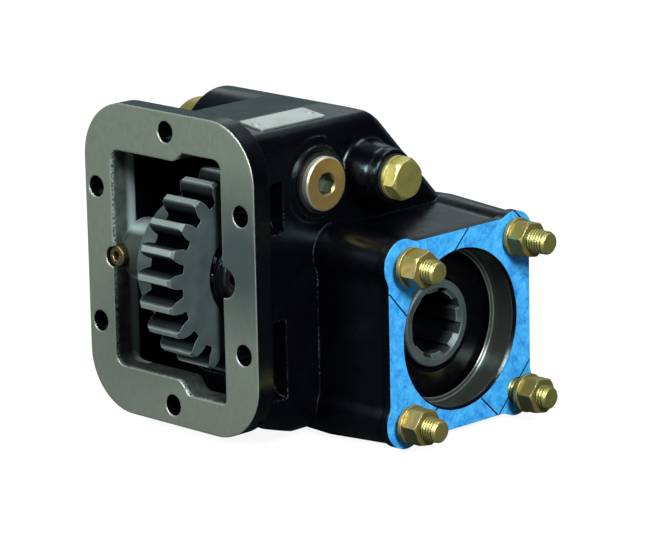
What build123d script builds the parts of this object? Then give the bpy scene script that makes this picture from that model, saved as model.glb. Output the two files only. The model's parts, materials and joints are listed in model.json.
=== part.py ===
from build123d import *
import os
from math import acos, atan2, cos, degrees, pi, radians, sin, sqrt, tan

# Power take off unit for a truck gearbox, in millimetres.
# Origin: centre of the six mounting holes on the mounting face.
# X runs along the output shaft towards the pump, Y from the mounting face into the housing, Z up.
os.makedirs("parts", exist_ok=True)

# Running and fitting clearances, radial unless said otherwise
bolt_clearance = 0.5
shaft_clearance = 0.03
slide_clearance = 0.05
running_gap = 0.3
face_gap = 0.3
seat_depth = 1.0
end_gap = 0.6
small_chamfer = 0.8

# Side mounting flange
flange_left = 60.4
flange_right = 62.0
flange_height = 160.0
flange_corner = 30.0
flange_thickness = 11.0
side_hole_spacing_x = 104.775
side_hole_spacing_z = 69.85
end_hole_spacing = 139.7
mount_bolt_diameter = 10.0
mount_hole_radius = mount_bolt_diameter / 2 + bolt_clearance

# Window in the mounting flange, left and right of the hole pattern's centre
window_left = 41.5
window_right = 39.0
window_half_height = 55.8
window_tall_top = 60.8
window_tall_bottom = 62.8
window_step_x = 6.0
window_step_run = 5.5
window_depth = 20.0

# Gears
gear_module = 25.4 / 6
pressure_angle = 20.0
idler_teeth = 22
output_teeth = 19
gear_face_width = 23.4
gear_left_x = 7.6
gear_right_x = gear_left_x + gear_face_width
slide_travel = 24.0
tooth_thinning = 0.16
centre_clearance = 0.22
dedendum_factor = 1.25
tooth_bevel = 1.4
root_fillet = 1.3
idler_tooth_angle = 176.3

# Idler axis, set out from the mounting face
idler_y = 21.7
idler_z = 0.0
mesh_angle = -22.5
idler_pitch_radius = gear_module * idler_teeth / 2
output_pitch_radius = gear_module * output_teeth / 2
centre_distance = idler_pitch_radius + output_pitch_radius + centre_clearance
output_y = idler_y + centre_distance * cos(radians(mesh_angle))
output_z = idler_z + centre_distance * sin(radians(mesh_angle))
# A tooth of the output gear stands in a space of the idler, so the gears mesh at rest
gear_ratio = idler_teeth / output_teeth
output_tooth_angle = mesh_angle + 180 - (idler_tooth_angle - mesh_angle) * gear_ratio + 180 / output_teeth

# Idler taper roller bearings
idler_shaft_radius = 12.5
idler_bearing_radius = 23.5
idler_cup_width = 11.5
idler_cone_width = 15.0
idler_roller_count = 14
idler_gear_recess = 1.0
idler_hub_radius = 33.0
idler_hub_left_x = -11.0
idler_shoulder_bore_radius = 20.0
idler_spacer_radius = 15.5
end_spacer_radius = 16.5

# Output shaft
output_sleeve_radius = 22.3
output_sleeve_end_x = 85.6
journal_step = 0.2
shaft_overhang = 1.0
spline_major_radius = 18.0
spline_minor_radius = 16.0
spline_groove_width = 6.0
spline_groove_count = 8
spline_phase = 25.5
spline_depth = 34.0
spline_lead = 2.0
spline_lead_gap = 0.4
drive_spline_minor_radius = 20.0
drive_spline_major_radius = 23.0
drive_spline_count = 8
drive_spline_width = 8.0
drive_spline_left_x = -9.0
drive_spline_right_x = gear_right_x + slide_travel + end_gap
shaft_collar_radius = 26.0

# Output roller bearings
front_bearing_bore_radius = output_sleeve_radius + journal_step
front_bearing_section = 15.0
front_bearing_outer_radius = front_bearing_bore_radius + front_bearing_section
front_bearing_width = 16.0
front_bearing_left_x = 58.5
bearing_shoulder_width = 2.7
bearing_shoulder_height = 4.0
rear_bearing_bore_radius = 15.0
rear_bearing_section = 16.0
rear_bearing_outer_radius = rear_bearing_bore_radius + rear_bearing_section
rear_bearing_width = 16.0
rear_bearing_left_x = -29.0
output_roller_count = 12
retaining_ring_width = 2.5
retaining_ring_depth = 1.6
retaining_ring_fit = 0.1

# Shaft seal
seal_width = 7.0
seal_front_x = 84.1
seal_face = 3.0
seal_lip_depth = 1.5

# Sliding output gear
fork_groove_width = 8.4
fork_rim_width = 5.0
fork_groove_radius = 29.0
fork_rim_radius = 34.0

# Pump flange
pump_face_x = 101.7
pump_flange_thickness = 5.0
pump_flange_half = 50.5
pump_stud_spacing = 80.0
pump_ear_radius = 13.2
pump_corner_step = 1.0
pump_ear_blend = 9.0
pump_body_inset = 1.2
pump_body_swell = 2.8
pilot_radius = 40.0
pilot_depth = 14.7
pilot_chamfer = 1.6
gasket_thickness = 0.5
gasket_bore_clearance = 1.2

# Studs, washers and nuts
stud_radius = 6.0
stud_thread_depth = 19.0
stud_length = 42.4
stud_chamfer = 1.4
washer_radius = 10.0
washer_thickness = 2.0
nut_across_flats = 17.0
nut_height = 9.5
# Each nut stands off the gasket, as the unit is stored before its pump is fitted
upper_left_nut_gap = 4.2
upper_right_nut_gap = 1.3
lower_left_nut_gap = 3.4
lower_right_nut_gap = 7.0

# Housing walls
wall_right_x = 54.0
wall_left_x = -48.0
chamber_bottom_z = -83.5
chamber_bottom_rise = 9.0
chamber_bottom_run = 29.0
inner_bottom_z = -69.5
chamber_top_z = 66.0
chamber_corner = 12.0
chamber_rear_y = 76.0
chamber_left_rear_y = 60.5
chamber_step_x = -14.0
box_left_x = -31.0
idler_tip_gap = 2.7
output_tip_gap = 1.3
top_z = 75.0
top_arc_radius = 29.0
top_arc_y = 79.0
rear_slope_angle = 43.0
upper_left_x = -43.0
upper_bottom_z = 8.0
ridge_left_x = -8.0
top_edge_radius = 9.0
rim_radius = 7.0
strip_left_x = 26.0
chamber_wall = 6.0
window_lip = 14.0
fork_room_radius = 17.0
output_cavity_left_x = -12.0
piston_bore_left_x = 36.0
fork_room_spread = 0.8
fork_room_reach = 0.5
pocket_low_shift = 7.0
shaft_boss_left_x = -52.0
shaft_boss_radius = 19.0
shaft_inner_boss_radius = 16.0
left_boss_face_x = -15.0
right_boss_face_x = 35.0
idler_shaft_right_x = 50.0
core_plug_radius = 14.0
core_plug_seat = 3.0
idler_shaft_end_gap = 0.5

# Lock screws of the idler shaft and screws of the rear bearing cover
left_lock_x = -41.6
right_lock_x = 40.6
right_notch_x = 39.5
right_notch_radius = 8.0
lock_screw_radius = 5.25
cover_screw_place = 36.0
cover_screw_count = 4
cover_screw_radius = 3.0
cover_screw_depth = 12.0

# Pockets that leave room for the mounting bolts' heads
pocket_radius = 8.6
pocket_corner = 7.6
pocket_height = 25.8
end_pocket_width = 18.2
end_pocket_height = 34.4
pocket_depth = 16.5
pocket_floor_x = 43.8
pocket_overrun = 10.0

# Shift axis, parallel to the output shaft
shift_y = 85.0
shift_z = 43.3
shift_rod_radius = 8.0
piston_radius = 14.0
piston_length = 8.0
piston_rest_x = 37.5
piston_bore_right_x = piston_rest_x + piston_length + slide_travel + end_gap
cap_radius = 22.0
cap_outer_x = -70.0
cap_wall = 4.0
cap_spigot_radius = 20.0
cap_bore_radius = 16.0
cap_spigot_end_x = -8.0
cap_end_gap = 1.0
cap_seal_overhang = 1.0
guide_length = 7.0
guide_left_x = -41.0
spring_wire_radius = 1.4
spring_wire_width = 3.6
spring_coils = 4
spring_end_gap = 0.4

# Plugs in the right wall
socket_plug_y = 51.0
socket_plug_z = 43.5
socket_plug_radius = 13.6
socket_plug_head = 3.6
socket_plug_across_flats = 10.0
socket_boss_radius = 18.5
socket_boss_height = 1.8
socket_boss_foot_radius = 23.0
socket_boss_chamfer = 0.5
socket_boss_neck = 0.8
boss_root = 2.0
socket_washer_radius = 15.4
plug_washer_thickness = 1.5
socket_plug_thread_length = 13.0
hex_plug_thread_length = 5.2
socket_plug_thread_radius = 11.0
hex_boss_radius = 16.3
hex_boss_foot_radius = 19.6
hex_boss_neck = 3.4
hex_boss_front_radius = 13.6
hex_boss_front_x = 74.0
hex_boss_chamfer = 0.8
hex_plug_across_flats = 19.0
hex_plug_collar_radius = 11.0
hex_washer_overhang = 0.6
hex_plug_collar = 1.8
hex_plug_head = 6.9
hex_plug_thread_radius = 7.0
hex_plug_turn = 11.0

# Details of the inner pieces
lock_screw_end_y = 10.6
left_lock_head_y = 2.2
right_lock_head_y = 5.0
lock_socket_radius = 2.5
lock_socket_depth = 4.0
lock_screw_chamfer = 0.5
output_roller_share = 0.24
bearing_rib_width = 2.2
bearing_rib_height = 1.6
retaining_ring_inner = 3.0
retaining_ring_gap = 8.0
seal_wall = 2.0
seal_lip_land = 3.0
seal_lip_gap = 0.3
cover_thickness = 5.0
cover_radius = 41.0
cover_screw_head_radius = 5.0
cover_screw_head = 4.0
cover_chamfer = 1.0
cover_spigot_wall = 3.0
piston_ring_width = 2.4
piston_ring_depth = 2.2
fork_outer_radius = 36.5
fork_idler_span = 34.0
fork_free_span = 80.0
fork_neck_angle = 22.0
fork_neck_half = 9.0
fork_neck_root = 2.0
fork_boss_radius = 14.0
fork_boss_length = 13.0
cap_seal_thickness = 1.5
cap_chamfer = 2.0
spring_radius = 11.5
socket_plug_hex_depth = 7.0
socket_plug_lead = 1.4
hex_crown_height = 1.6
hex_crown_inset = 0.5
socket_lead_gap = 0.3
nut_crown = 1.0
upper_left_nut_turn = 15.0
upper_right_nut_turn = -10.0
lower_left_nut_turn = -8.0
lower_right_nut_turn = -9.0

# Name plate
plate_corner = 1.5
plate_rivet_margin = 3.5
rivet_head_radius = 2.4
plate_length = 44.0
plate_width = 16.4
plate_thickness = 0.8
plate_y = 44.6
plate_x = 37.3
plate_tilt = 7.0
rivet_radius = 1.6
rivet_height = 0.7
rivet_slope = 45.0

idler_plane = Plane(origin=(0, idler_y, idler_z), x_dir=(0, 1, 0), z_dir=(1, 0, 0))
output_plane = Plane(origin=(0, output_y, output_z), x_dir=(0, 1, 0), z_dir=(1, 0, 0))
shift_plane = Plane(origin=(0, shift_y, shift_z), x_dir=(0, 1, 0), z_dir=(1, 0, 0))
socket_plane = Plane(origin=(0, socket_plug_y, socket_plug_z), x_dir=(0, 1, 0), z_dir=(1, 0, 0))
mount_plane = Plane(origin=(0, 0, 0), x_dir=(1, 0, 0), z_dir=(0, -1, 0))


def polar(radius, angle):
    return (radius * cos(radians(angle)), radius * sin(radians(angle)))


def involute(angle):
    return tan(angle) - angle


def tooth_half_angle(teeth, radius):
    """Half the angle that a tooth fills at a radius, in degrees."""
    pitch_radius = gear_module * teeth / 2
    base_radius = pitch_radius * cos(radians(pressure_angle))
    half_at_pitch = (pi * gear_module / 2 - tooth_thinning) / (2 * pitch_radius)
    flank_angle = acos(min(1.0, base_radius / radius))
    return degrees(half_at_pitch + involute(radians(pressure_angle)) - involute(flank_angle))


def gear_section(plane, teeth, first_angle, fillet_radius):
    """Section of a spur gear, with involute flanks and rounded roots."""
    pitch_radius = gear_module * teeth / 2
    base_radius = pitch_radius * cos(radians(pressure_angle))
    tip_radius = pitch_radius + gear_module
    root_radius = pitch_radius - dedendum_factor * gear_module
    middle_radius = (base_radius + tip_radius) / 2
    step = 360 / teeth
    base_half = tooth_half_angle(teeth, base_radius)
    middle_half = tooth_half_angle(teeth, middle_radius)
    tip_half = tooth_half_angle(teeth, tip_radius)
    root_half = base_half + degrees(fillet_radius / root_radius)
    arc_half = base_half + degrees(fillet_radius * (1 - sqrt(0.5)) / root_radius)
    arc_radius = root_radius + fillet_radius * (1 - sqrt(0.5))
    with BuildSketch(plane) as section:
        with BuildLine():
            for tooth in range(teeth):
                angle = first_angle + tooth * step
                start = polar(root_radius, angle - root_half)
                left = polar(root_radius + fillet_radius, angle - base_half)
                ThreePointArc(start, polar(arc_radius, angle - arc_half), left)
                left_base = polar(base_radius, angle - base_half)
                Line(left, left_base)
                left_tip = polar(tip_radius, angle - tip_half)
                ThreePointArc(left_base, polar(middle_radius, angle - middle_half), left_tip)
                right_tip = polar(tip_radius, angle + tip_half)
                ThreePointArc(left_tip, polar(tip_radius, angle), right_tip)
                right_base = polar(base_radius, angle + base_half)
                ThreePointArc(right_tip, polar(middle_radius, angle + middle_half), right_base)
                right = polar(root_radius + fillet_radius, angle + base_half)
                Line(right_base, right)
                end = polar(root_radius, angle + root_half)
                ThreePointArc(right, polar(arc_radius, angle + arc_half), end)
                next_start = polar(root_radius, angle + step - root_half)
                ThreePointArc(end, polar(root_radius, angle + step / 2), next_start)
        make_face()
    return section.sketch


def turned(axis_y, axis_z, profile):
    """A body turned about a line along X, from points of X and radius."""
    with BuildPart() as body:
        with BuildSketch(Plane(origin=(0, axis_y, axis_z), x_dir=(1, 0, 0), z_dir=(0, 0, 1))):
            with BuildLine():
                Polyline(*profile, close=True)
            make_face()
        revolve(axis=Axis((0, axis_y, axis_z), (1, 0, 0)))
    return body


def ring_profile(left_x, right_x, inner_radius, outer_radius):
    return [(left_x, inner_radius), (right_x, inner_radius), (right_x, outer_radius), (left_x, outer_radius)]


def chamfered_ring(left_x, right_x, inner_radius, outer_radius, bevel):
    return [
        (left_x, inner_radius),
        (right_x, inner_radius),
        (right_x, outer_radius - bevel),
        (right_x - bevel, outer_radius),
        (left_x + bevel, outer_radius),
        (left_x, outer_radius - bevel),
    ]


def cast_boss(axis_y, axis_z, foot_x, foot_radius, neck, radius, front_x, front_radius, bevel):
    """Turned boss on a wall, whose foot runs out into the wall in a hollow curve."""
    share = 1 - sqrt(0.5)
    with BuildPart() as boss:
        with BuildSketch(Plane(origin=(0, axis_y, axis_z), x_dir=(1, 0, 0), z_dir=(0, 0, 1))):
            with BuildLine():
                hollow = (foot_x + share * neck, radius + share * (foot_radius - radius))
                ThreePointArc((foot_x, foot_radius), hollow, (foot_x + neck, radius))
                Polyline(
                    (foot_x + neck, radius),
                    (front_x - bevel, front_radius),
                    (front_x, front_radius - bevel),
                    (front_x, 0),
                    (foot_x - boss_root, 0),
                    (foot_x - boss_root, foot_radius),
                    (foot_x, foot_radius),
                )
            make_face()
        revolve(axis=Axis((0, axis_y, axis_z), (1, 0, 0)))
    return boss


def spline_section(minor_radius, major_radius, tooth_width, count, phase):
    """Round core with straight-sided teeth that end on the major circle."""
    Circle(minor_radius)
    with PolarLocations(major_radius / 2, count, start_angle=phase):
        Rectangle(major_radius + tooth_width, tooth_width)
    Circle(major_radius, mode=Mode.INTERSECT)


def pump_section(left_x, inset):
    """Square section whose corners swell into an ear round each stud."""
    half = pump_flange_half - inset
    ear = pump_ear_radius - inset
    with BuildSketch(output_plane.offset(left_x)) as section:
        RectangleRounded(2 * half, 2 * half, ear - pump_corner_step)
        with GridLocations(pump_stud_spacing, pump_stud_spacing, 2, 2):
            Circle(ear)
        inner_corners = section.vertices().filter_by(
            lambda v: min(abs(v.X), abs(v.Y)) < pump_stud_spacing / 2 - 1
        )
        fillet(inner_corners, pump_ear_blend)
    return section.sketch


# Housing: outer form
cavity_left_x = -window_left
cavity_right_x = window_right
idler_tip_radius = idler_pitch_radius + gear_module
output_tip_radius = output_pitch_radius + gear_module
idler_cavity_radius = idler_tip_radius + idler_tip_gap
output_cavity_radius = output_tip_radius + output_tip_gap
hub_cavity_radius = idler_hub_radius + idler_tip_gap
hub_cavity_right_x = gear_left_x - idler_tip_gap
fork_room_z = output_z + fork_room_reach * output_cavity_radius
chamber_height = chamber_top_z - chamber_bottom_z
chamber_middle_z = (chamber_top_z + chamber_bottom_z) / 2
arc_z = top_z - top_arc_radius
arc_end_y = top_arc_y + top_arc_radius * cos(radians(rear_slope_angle))
arc_end_z = arc_z + top_arc_radius * sin(radians(rear_slope_angle))
slope_drop = arc_end_z - upper_bottom_z
slope_end_y = arc_end_y + slope_drop * tan(radians(rear_slope_angle))
bearing_wall_x = front_bearing_left_x - bearing_shoulder_width
ring_groove_x = front_bearing_left_x + front_bearing_width

# Upper block of the housing, with its slanted rear wall and rounded rims
with BuildPart() as upper_block:
    with BuildSketch(Plane.YZ.offset(upper_left_x)):
        with BuildLine():
            left_foot = (top_arc_y - top_arc_radius, upper_bottom_z)
            left_spring = (top_arc_y - top_arc_radius, arc_z)
            arc_middle = (top_arc_y - top_arc_radius * sqrt(0.5), arc_z + top_arc_radius * sqrt(0.5))
            Line(left_foot, left_spring)
            ThreePointArc(left_spring, arc_middle, (top_arc_y, top_z))
            RadiusArc((top_arc_y, top_z), (arc_end_y, arc_end_z), top_arc_radius)
            Polyline((arc_end_y, arc_end_z), (slope_end_y, upper_bottom_z), left_foot)
        make_face()
    extrude(amount=wall_right_x - upper_left_x)
    with BuildSketch(mount_plane.offset(-flange_thickness)):
        with Locations((ridge_left_x, upper_bottom_z)):
            Rectangle(wall_right_x - ridge_left_x, top_z - upper_bottom_z, align=Align.MIN)
    extrude(amount=-(top_arc_y - flange_thickness))
    right_rim = upper_block.edges().filter_by(
        lambda e: abs(e.bounding_box().min.X - wall_right_x) < 0.01
        and e.center().Z > upper_bottom_z + 1
        and e.center().Y > flange_thickness
    )
    fillet(right_rim, rim_radius)
    # Slanted strip along the top edge, which carries the name plate and runs round into the wall
    with BuildSketch(mount_plane):
        with BuildLine():
            tilt = radians(plate_tilt)
            round_x = wall_right_x - top_edge_radius
            round_z = top_z - (round_x - strip_left_x) * tan(tilt) - top_edge_radius / cos(tilt)
            strip_end = (round_x + top_edge_radius * sin(tilt), round_z + top_edge_radius * cos(tilt))
            middle_angle = (90 - plate_tilt) / 2
            round_step = polar(top_edge_radius, middle_angle)
            round_middle = (round_x + round_step[0], round_z + round_step[1])
            ThreePointArc(strip_end, round_middle, (wall_right_x, round_z))
            Polyline(
                (wall_right_x, round_z),
                (wall_right_x + 1, round_z),
                (wall_right_x + 1, top_z + 1),
                (strip_left_x, top_z + 1),
                (strip_left_x, top_z),
                strip_end,
            )
        make_face()
    extrude(amount=-2 * top_arc_y, mode=Mode.SUBTRACT)

with BuildPart() as housing:
    with BuildSketch(mount_plane):
        with Locations(((flange_right - flange_left) / 2, 0)):
            RectangleRounded(flange_left + flange_right, flange_height, flange_corner)
    extrude(amount=-flange_thickness)
    # Gear chamber behind the flange, deeper on the right where the gears stand
    for left_x, rear_y in ((wall_left_x, chamber_left_rear_y), (chamber_step_x, chamber_rear_y)):
        with BuildSketch(mount_plane.offset(-flange_thickness)):
            with Locations(((left_x + wall_right_x) / 2, chamber_middle_z)):
                RectangleRounded(wall_right_x - left_x, chamber_height, chamber_corner)
        extrude(amount=-(rear_y - flange_thickness))
    # The chamber's bottom rises towards the flange
    with BuildSketch(Plane.YZ.offset(wall_left_x)):
        with BuildLine():
            Polyline(
                (flange_thickness, chamber_bottom_z - 1),
                (flange_thickness, chamber_bottom_z + chamber_bottom_rise),
                (flange_thickness + chamber_bottom_run, chamber_bottom_z),
                (flange_thickness + chamber_bottom_run, chamber_bottom_z - 1),
                close=True,
            )
        make_face()
    extrude(amount=wall_right_x - wall_left_x, mode=Mode.SUBTRACT)
    # Square body behind the pump flange, widest where it leaves the wall
    loft(
        [
            pump_section(box_left_x, pump_body_inset).face(),
            pump_section(wall_right_x, pump_body_inset - pump_body_swell).face(),
            pump_section(pump_face_x - pump_flange_thickness, pump_body_inset).face(),
        ],
        ruled=True,
    )
    add(upper_block.part)
    # Front plate of the pump flange
    extrude(pump_section(pump_face_x - pump_flange_thickness, 0), amount=pump_flange_thickness)
    # Bosses under the two plugs
    add(
        cast_boss(
            shift_y,
            shift_z,
            wall_right_x,
            hex_boss_foot_radius,
            hex_boss_neck,
            hex_boss_radius,
            hex_boss_front_x,
            hex_boss_front_radius,
            hex_boss_chamfer,
        ).part
    )
    add(
        cast_boss(
            socket_plug_y,
            socket_plug_z,
            wall_right_x,
            socket_boss_foot_radius,
            socket_boss_neck,
            socket_boss_radius,
            wall_right_x + socket_boss_height,
            socket_boss_radius,
            socket_boss_chamfer,
        ).part
    )
    # Boss round the far end of the idler shaft
    with BuildSketch(idler_plane.offset(shaft_boss_left_x)):
        Circle(shaft_boss_radius)
    extrude(amount=wall_left_x - shaft_boss_left_x + 1)
    # Room for the heads of the mounting bolts
    side_x = side_hole_spacing_x / 2
    side_z = side_hole_spacing_z / 2
    end_z = end_hole_spacing / 2
    pocket_width = 2 * (side_x - pocket_floor_x + pocket_overrun)
    with BuildSketch(mount_plane.offset(-flange_thickness)):
        for side in (-1, 1):
            with Locations((side * (pocket_floor_x + pocket_width / 2), side_z)):
                RectangleRounded(pocket_width, pocket_height, pocket_corner)
            with Locations((side * (pocket_floor_x + pocket_width / 2), -side_z - pocket_low_shift)):
                RectangleRounded(pocket_width, pocket_height + 2 * pocket_low_shift, pocket_corner)
            with Locations((0, side * (end_z + pocket_radius))):
                RectangleRounded(end_pocket_width, end_pocket_height, pocket_corner)
    extrude(amount=-pocket_depth, mode=Mode.SUBTRACT)
    # Window and gear chamber
    with BuildSketch(mount_plane):
        with BuildLine():
            FilletPolyline(
                (-window_left, -window_half_height),
                (window_step_x, -window_half_height),
                (window_step_x + window_step_run, -window_tall_bottom),
                (window_right, -window_tall_bottom),
                (window_right, window_tall_top),
                (window_step_x + window_step_run, window_tall_top),
                (window_step_x, window_half_height),
                (-window_left, window_half_height),
                radius=[6, 6, 4, 3, 5, 1.5, 6, 6],
                close=True,
            )
        make_face()
    extrude(amount=-window_depth, mode=Mode.SUBTRACT)
    inner_height = chamber_top_z - chamber_wall - inner_bottom_z
    inner_middle_z = inner_bottom_z + inner_height / 2
    with BuildSketch(mount_plane.offset(-window_lip)):
        with Locations(((cavity_left_x + cavity_right_x) / 2, inner_middle_z)):
            RectangleRounded(cavity_right_x - cavity_left_x, inner_height, chamber_corner - chamber_wall)
    extrude(amount=-(chamber_left_rear_y - chamber_wall - window_lip), mode=Mode.SUBTRACT)
    with BuildSketch(idler_plane.offset(cavity_left_x)):
        Circle(hub_cavity_radius)
    extrude(amount=hub_cavity_right_x - cavity_left_x, mode=Mode.SUBTRACT)
    with BuildSketch(idler_plane.offset(hub_cavity_right_x)):
        Circle(idler_cavity_radius)
    extrude(amount=cavity_right_x - hub_cavity_right_x, mode=Mode.SUBTRACT)
    with BuildSketch(output_plane.offset(output_cavity_left_x)):
        Circle(output_cavity_radius)
    extrude(amount=bearing_wall_x - output_cavity_left_x, mode=Mode.SUBTRACT)
    # Room for the shift fork between the rod and the sliding gear
    with BuildSketch(Plane.YZ.offset(cap_spigot_end_x)):
        with Locations((shift_y, shift_z)):
            Circle(fork_room_radius)
        with BuildLine():
            Polyline(
                (shift_y - fork_room_radius, shift_z),
                (shift_y + fork_room_radius, shift_z),
                (output_y + fork_room_spread * output_cavity_radius, fork_room_z),
                (output_y - fork_room_reach * output_cavity_radius, fork_room_z),
                close=True,
            )
        make_face()
    extrude(amount=piston_bore_left_x - cap_spigot_end_x, mode=Mode.SUBTRACT)
    # Inner bosses that hold the idler shaft
    with BuildSketch(idler_plane.offset(cavity_left_x - 1)):
        Circle(shaft_inner_boss_radius)
    extrude(amount=left_boss_face_x - cavity_left_x + 1)
    with BuildSketch(idler_plane.offset(right_boss_face_x)):
        Circle(shaft_inner_boss_radius)
    extrude(amount=cavity_right_x - right_boss_face_x + 1)
    # Idler shaft bore, blind on the right
    with BuildSketch(idler_plane.offset(shaft_boss_left_x)):
        Circle(idler_shaft_radius + shaft_clearance)
    extrude(amount=idler_shaft_right_x + idler_shaft_end_gap - shaft_boss_left_x, mode=Mode.SUBTRACT)
    with BuildSketch(idler_plane.offset(shaft_boss_left_x)):
        Circle(core_plug_radius)
    extrude(amount=core_plug_seat, mode=Mode.SUBTRACT)
    # Lock screw holes
    with BuildSketch(mount_plane):
        with Locations((left_lock_x, idler_z)):
            Circle(lock_screw_radius)
    extrude(amount=-idler_y, mode=Mode.SUBTRACT)
    with BuildSketch(mount_plane):
        with Locations((right_notch_x, idler_z)):
            Circle(right_notch_radius)
    extrude(amount=-(idler_y - shaft_inner_boss_radius + 1), mode=Mode.SUBTRACT)
    with BuildSketch(mount_plane):
        with Locations((right_lock_x, idler_z)):
            Circle(lock_screw_radius)
    extrude(amount=-idler_y, mode=Mode.SUBTRACT)
    # Output shaft: rear bearing bore, front bearing bore, seal seat and pump pilot
    with BuildSketch(output_plane.offset(box_left_x)):
        Circle(rear_bearing_outer_radius)
    extrude(amount=output_cavity_left_x - box_left_x, mode=Mode.SUBTRACT)
    with BuildSketch(output_plane.offset(bearing_wall_x)):
        Circle(front_bearing_outer_radius - bearing_shoulder_height)
    extrude(amount=front_bearing_left_x - bearing_wall_x, mode=Mode.SUBTRACT)
    with BuildSketch(output_plane.offset(front_bearing_left_x)):
        Circle(front_bearing_outer_radius)
    extrude(amount=pump_face_x - front_bearing_left_x, mode=Mode.SUBTRACT)
    with BuildSketch(output_plane.offset(ring_groove_x)):
        Circle(front_bearing_outer_radius + retaining_ring_depth)
    extrude(amount=retaining_ring_width, mode=Mode.SUBTRACT)
    with BuildSketch(output_plane.offset(pump_face_x - pilot_depth)):
        Circle(pilot_radius)
    extrude(amount=pilot_depth, mode=Mode.SUBTRACT)
    with BuildSketch(output_plane.offset(pump_face_x)):
        Circle(pilot_radius + pilot_chamfer)
    extrude(amount=-pilot_chamfer, taper=45, mode=Mode.SUBTRACT)
    # Shift cylinder: cap bore on the left, piston bore and port on the right
    with BuildSketch(shift_plane.offset(upper_left_x)):
        Circle(cap_spigot_radius)
    extrude(amount=cap_spigot_end_x - upper_left_x, mode=Mode.SUBTRACT)
    with BuildSketch(shift_plane.offset(piston_bore_left_x)):
        Circle(piston_radius)
    extrude(amount=piston_bore_right_x - piston_bore_left_x, mode=Mode.SUBTRACT)
    with BuildSketch(shift_plane.offset(piston_bore_right_x)):
        Circle(hex_plug_thread_radius)
    extrude(amount=hex_boss_front_x - piston_bore_right_x, mode=Mode.SUBTRACT)
    with BuildSketch(socket_plane.offset(cavity_right_x - 1)):
        Circle(socket_plug_thread_radius)
    extrude(amount=wall_right_x + socket_boss_height + 1 - cavity_right_x, mode=Mode.SUBTRACT)
    # Stud holes
    with BuildSketch(output_plane.offset(pump_face_x)):
        with GridLocations(pump_stud_spacing, pump_stud_spacing, 2, 2):
            Circle(stud_radius)
    extrude(amount=-stud_thread_depth, mode=Mode.SUBTRACT)
    # Rear cover screw holes
    with BuildSketch(output_plane.offset(box_left_x)):
        with PolarLocations(cover_screw_place, cover_screw_count, start_angle=45):
            Circle(cover_screw_radius)
    extrude(amount=cover_screw_depth, mode=Mode.SUBTRACT)
    # Mounting holes
    with BuildSketch(mount_plane):
        with GridLocations(side_hole_spacing_x, side_hole_spacing_z, 2, 2):
            Circle(mount_hole_radius)
        with GridLocations(0, end_hole_spacing, 1, 2):
            Circle(mount_hole_radius)
    extrude(amount=-flange_thickness, mode=Mode.SUBTRACT)
housing.part.label = "housing"
export_step(housing.part, "parts/housing.step")

# Idler gear with its hub, bored for two taper roller bearings
right_cup_right_x = gear_right_x - idler_gear_recess
right_back_x = right_cup_right_x - idler_cup_width
left_back_x = idler_hub_left_x + idler_gear_recess + idler_cup_width
idler_blank = turned(
    idler_y, idler_z, chamfered_ring(gear_left_x, gear_right_x, 0, idler_tip_radius, tooth_bevel)
)
with BuildPart() as idler_gear:
    extrude(
        gear_section(idler_plane.offset(gear_left_x), idler_teeth, idler_tooth_angle, root_fillet),
        amount=gear_face_width,
    )
    add(idler_blank.part, mode=Mode.INTERSECT)
    with BuildSketch(idler_plane.offset(idler_hub_left_x)):
        Circle(idler_hub_radius)
    extrude(amount=gear_left_x - idler_hub_left_x)
    with BuildSketch(idler_plane.offset(idler_hub_left_x)):
        Circle(idler_bearing_radius)
    extrude(amount=left_back_x - idler_hub_left_x, mode=Mode.SUBTRACT)
    with BuildSketch(idler_plane.offset(left_back_x)):
        Circle(idler_shoulder_bore_radius)
    extrude(amount=right_back_x - left_back_x, mode=Mode.SUBTRACT)
    with BuildSketch(idler_plane.offset(right_back_x)):
        Circle(idler_bearing_radius)
    extrude(amount=gear_right_x - right_back_x, mode=Mode.SUBTRACT)
idler_gear.part.label = "idler_gear"
export_step(idler_gear.part, "parts/idler_gear.step")

# Taper roller bearings of the idler: distances are taken from the back of the cup
roller_tilt = 12.2
roller_taper = 1.8
roller_start = 1.6
roller_end = 11.0
roller_start_place = 16.55
roller_start_radius = 2.2
rib_start = 11.9
rib_radius = 19.2
small_rib_width = 1.2
small_rib_radius = 14.8
cage_start = 0.8
cage_end = 12.2
cage_offset = 0.7
cage_thickness = 0.8
cage_window_gap = 0.15


def roller_place(distance):
    return roller_start_place + (distance - roller_start) * tan(radians(roller_tilt))


def roller_radius(distance):
    return roller_start_radius + (distance - roller_start) * tan(radians(roller_taper))


def cup_track(distance):
    return roller_place(distance) + roller_radius(distance) / cos(radians(roller_tilt)) + running_gap


def cone_track(distance):
    return roller_place(distance) - roller_radius(distance) / cos(radians(roller_tilt)) - running_gap


def roller_ring(back_x, side, gap):
    """All rollers of a bearing whose large ends point along the side, grown by a gap."""
    middle = (roller_start + roller_end) / 2
    length = (roller_end - roller_start) / cos(radians(roller_tilt))
    ends = (roller_radius(roller_start) + gap, roller_radius(roller_end) + gap)
    bottom_radius, top_radius = ends if side > 0 else ends[::-1]
    with BuildPart(idler_plane) as rollers:
        with PolarLocations(roller_place(middle), idler_roller_count):
            with Locations(Location((0, 0, back_x + side * middle), (0, side * roller_tilt, 0))):
                Cone(bottom_radius, top_radius, length + 2 * gap)
    return rollers


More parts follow.
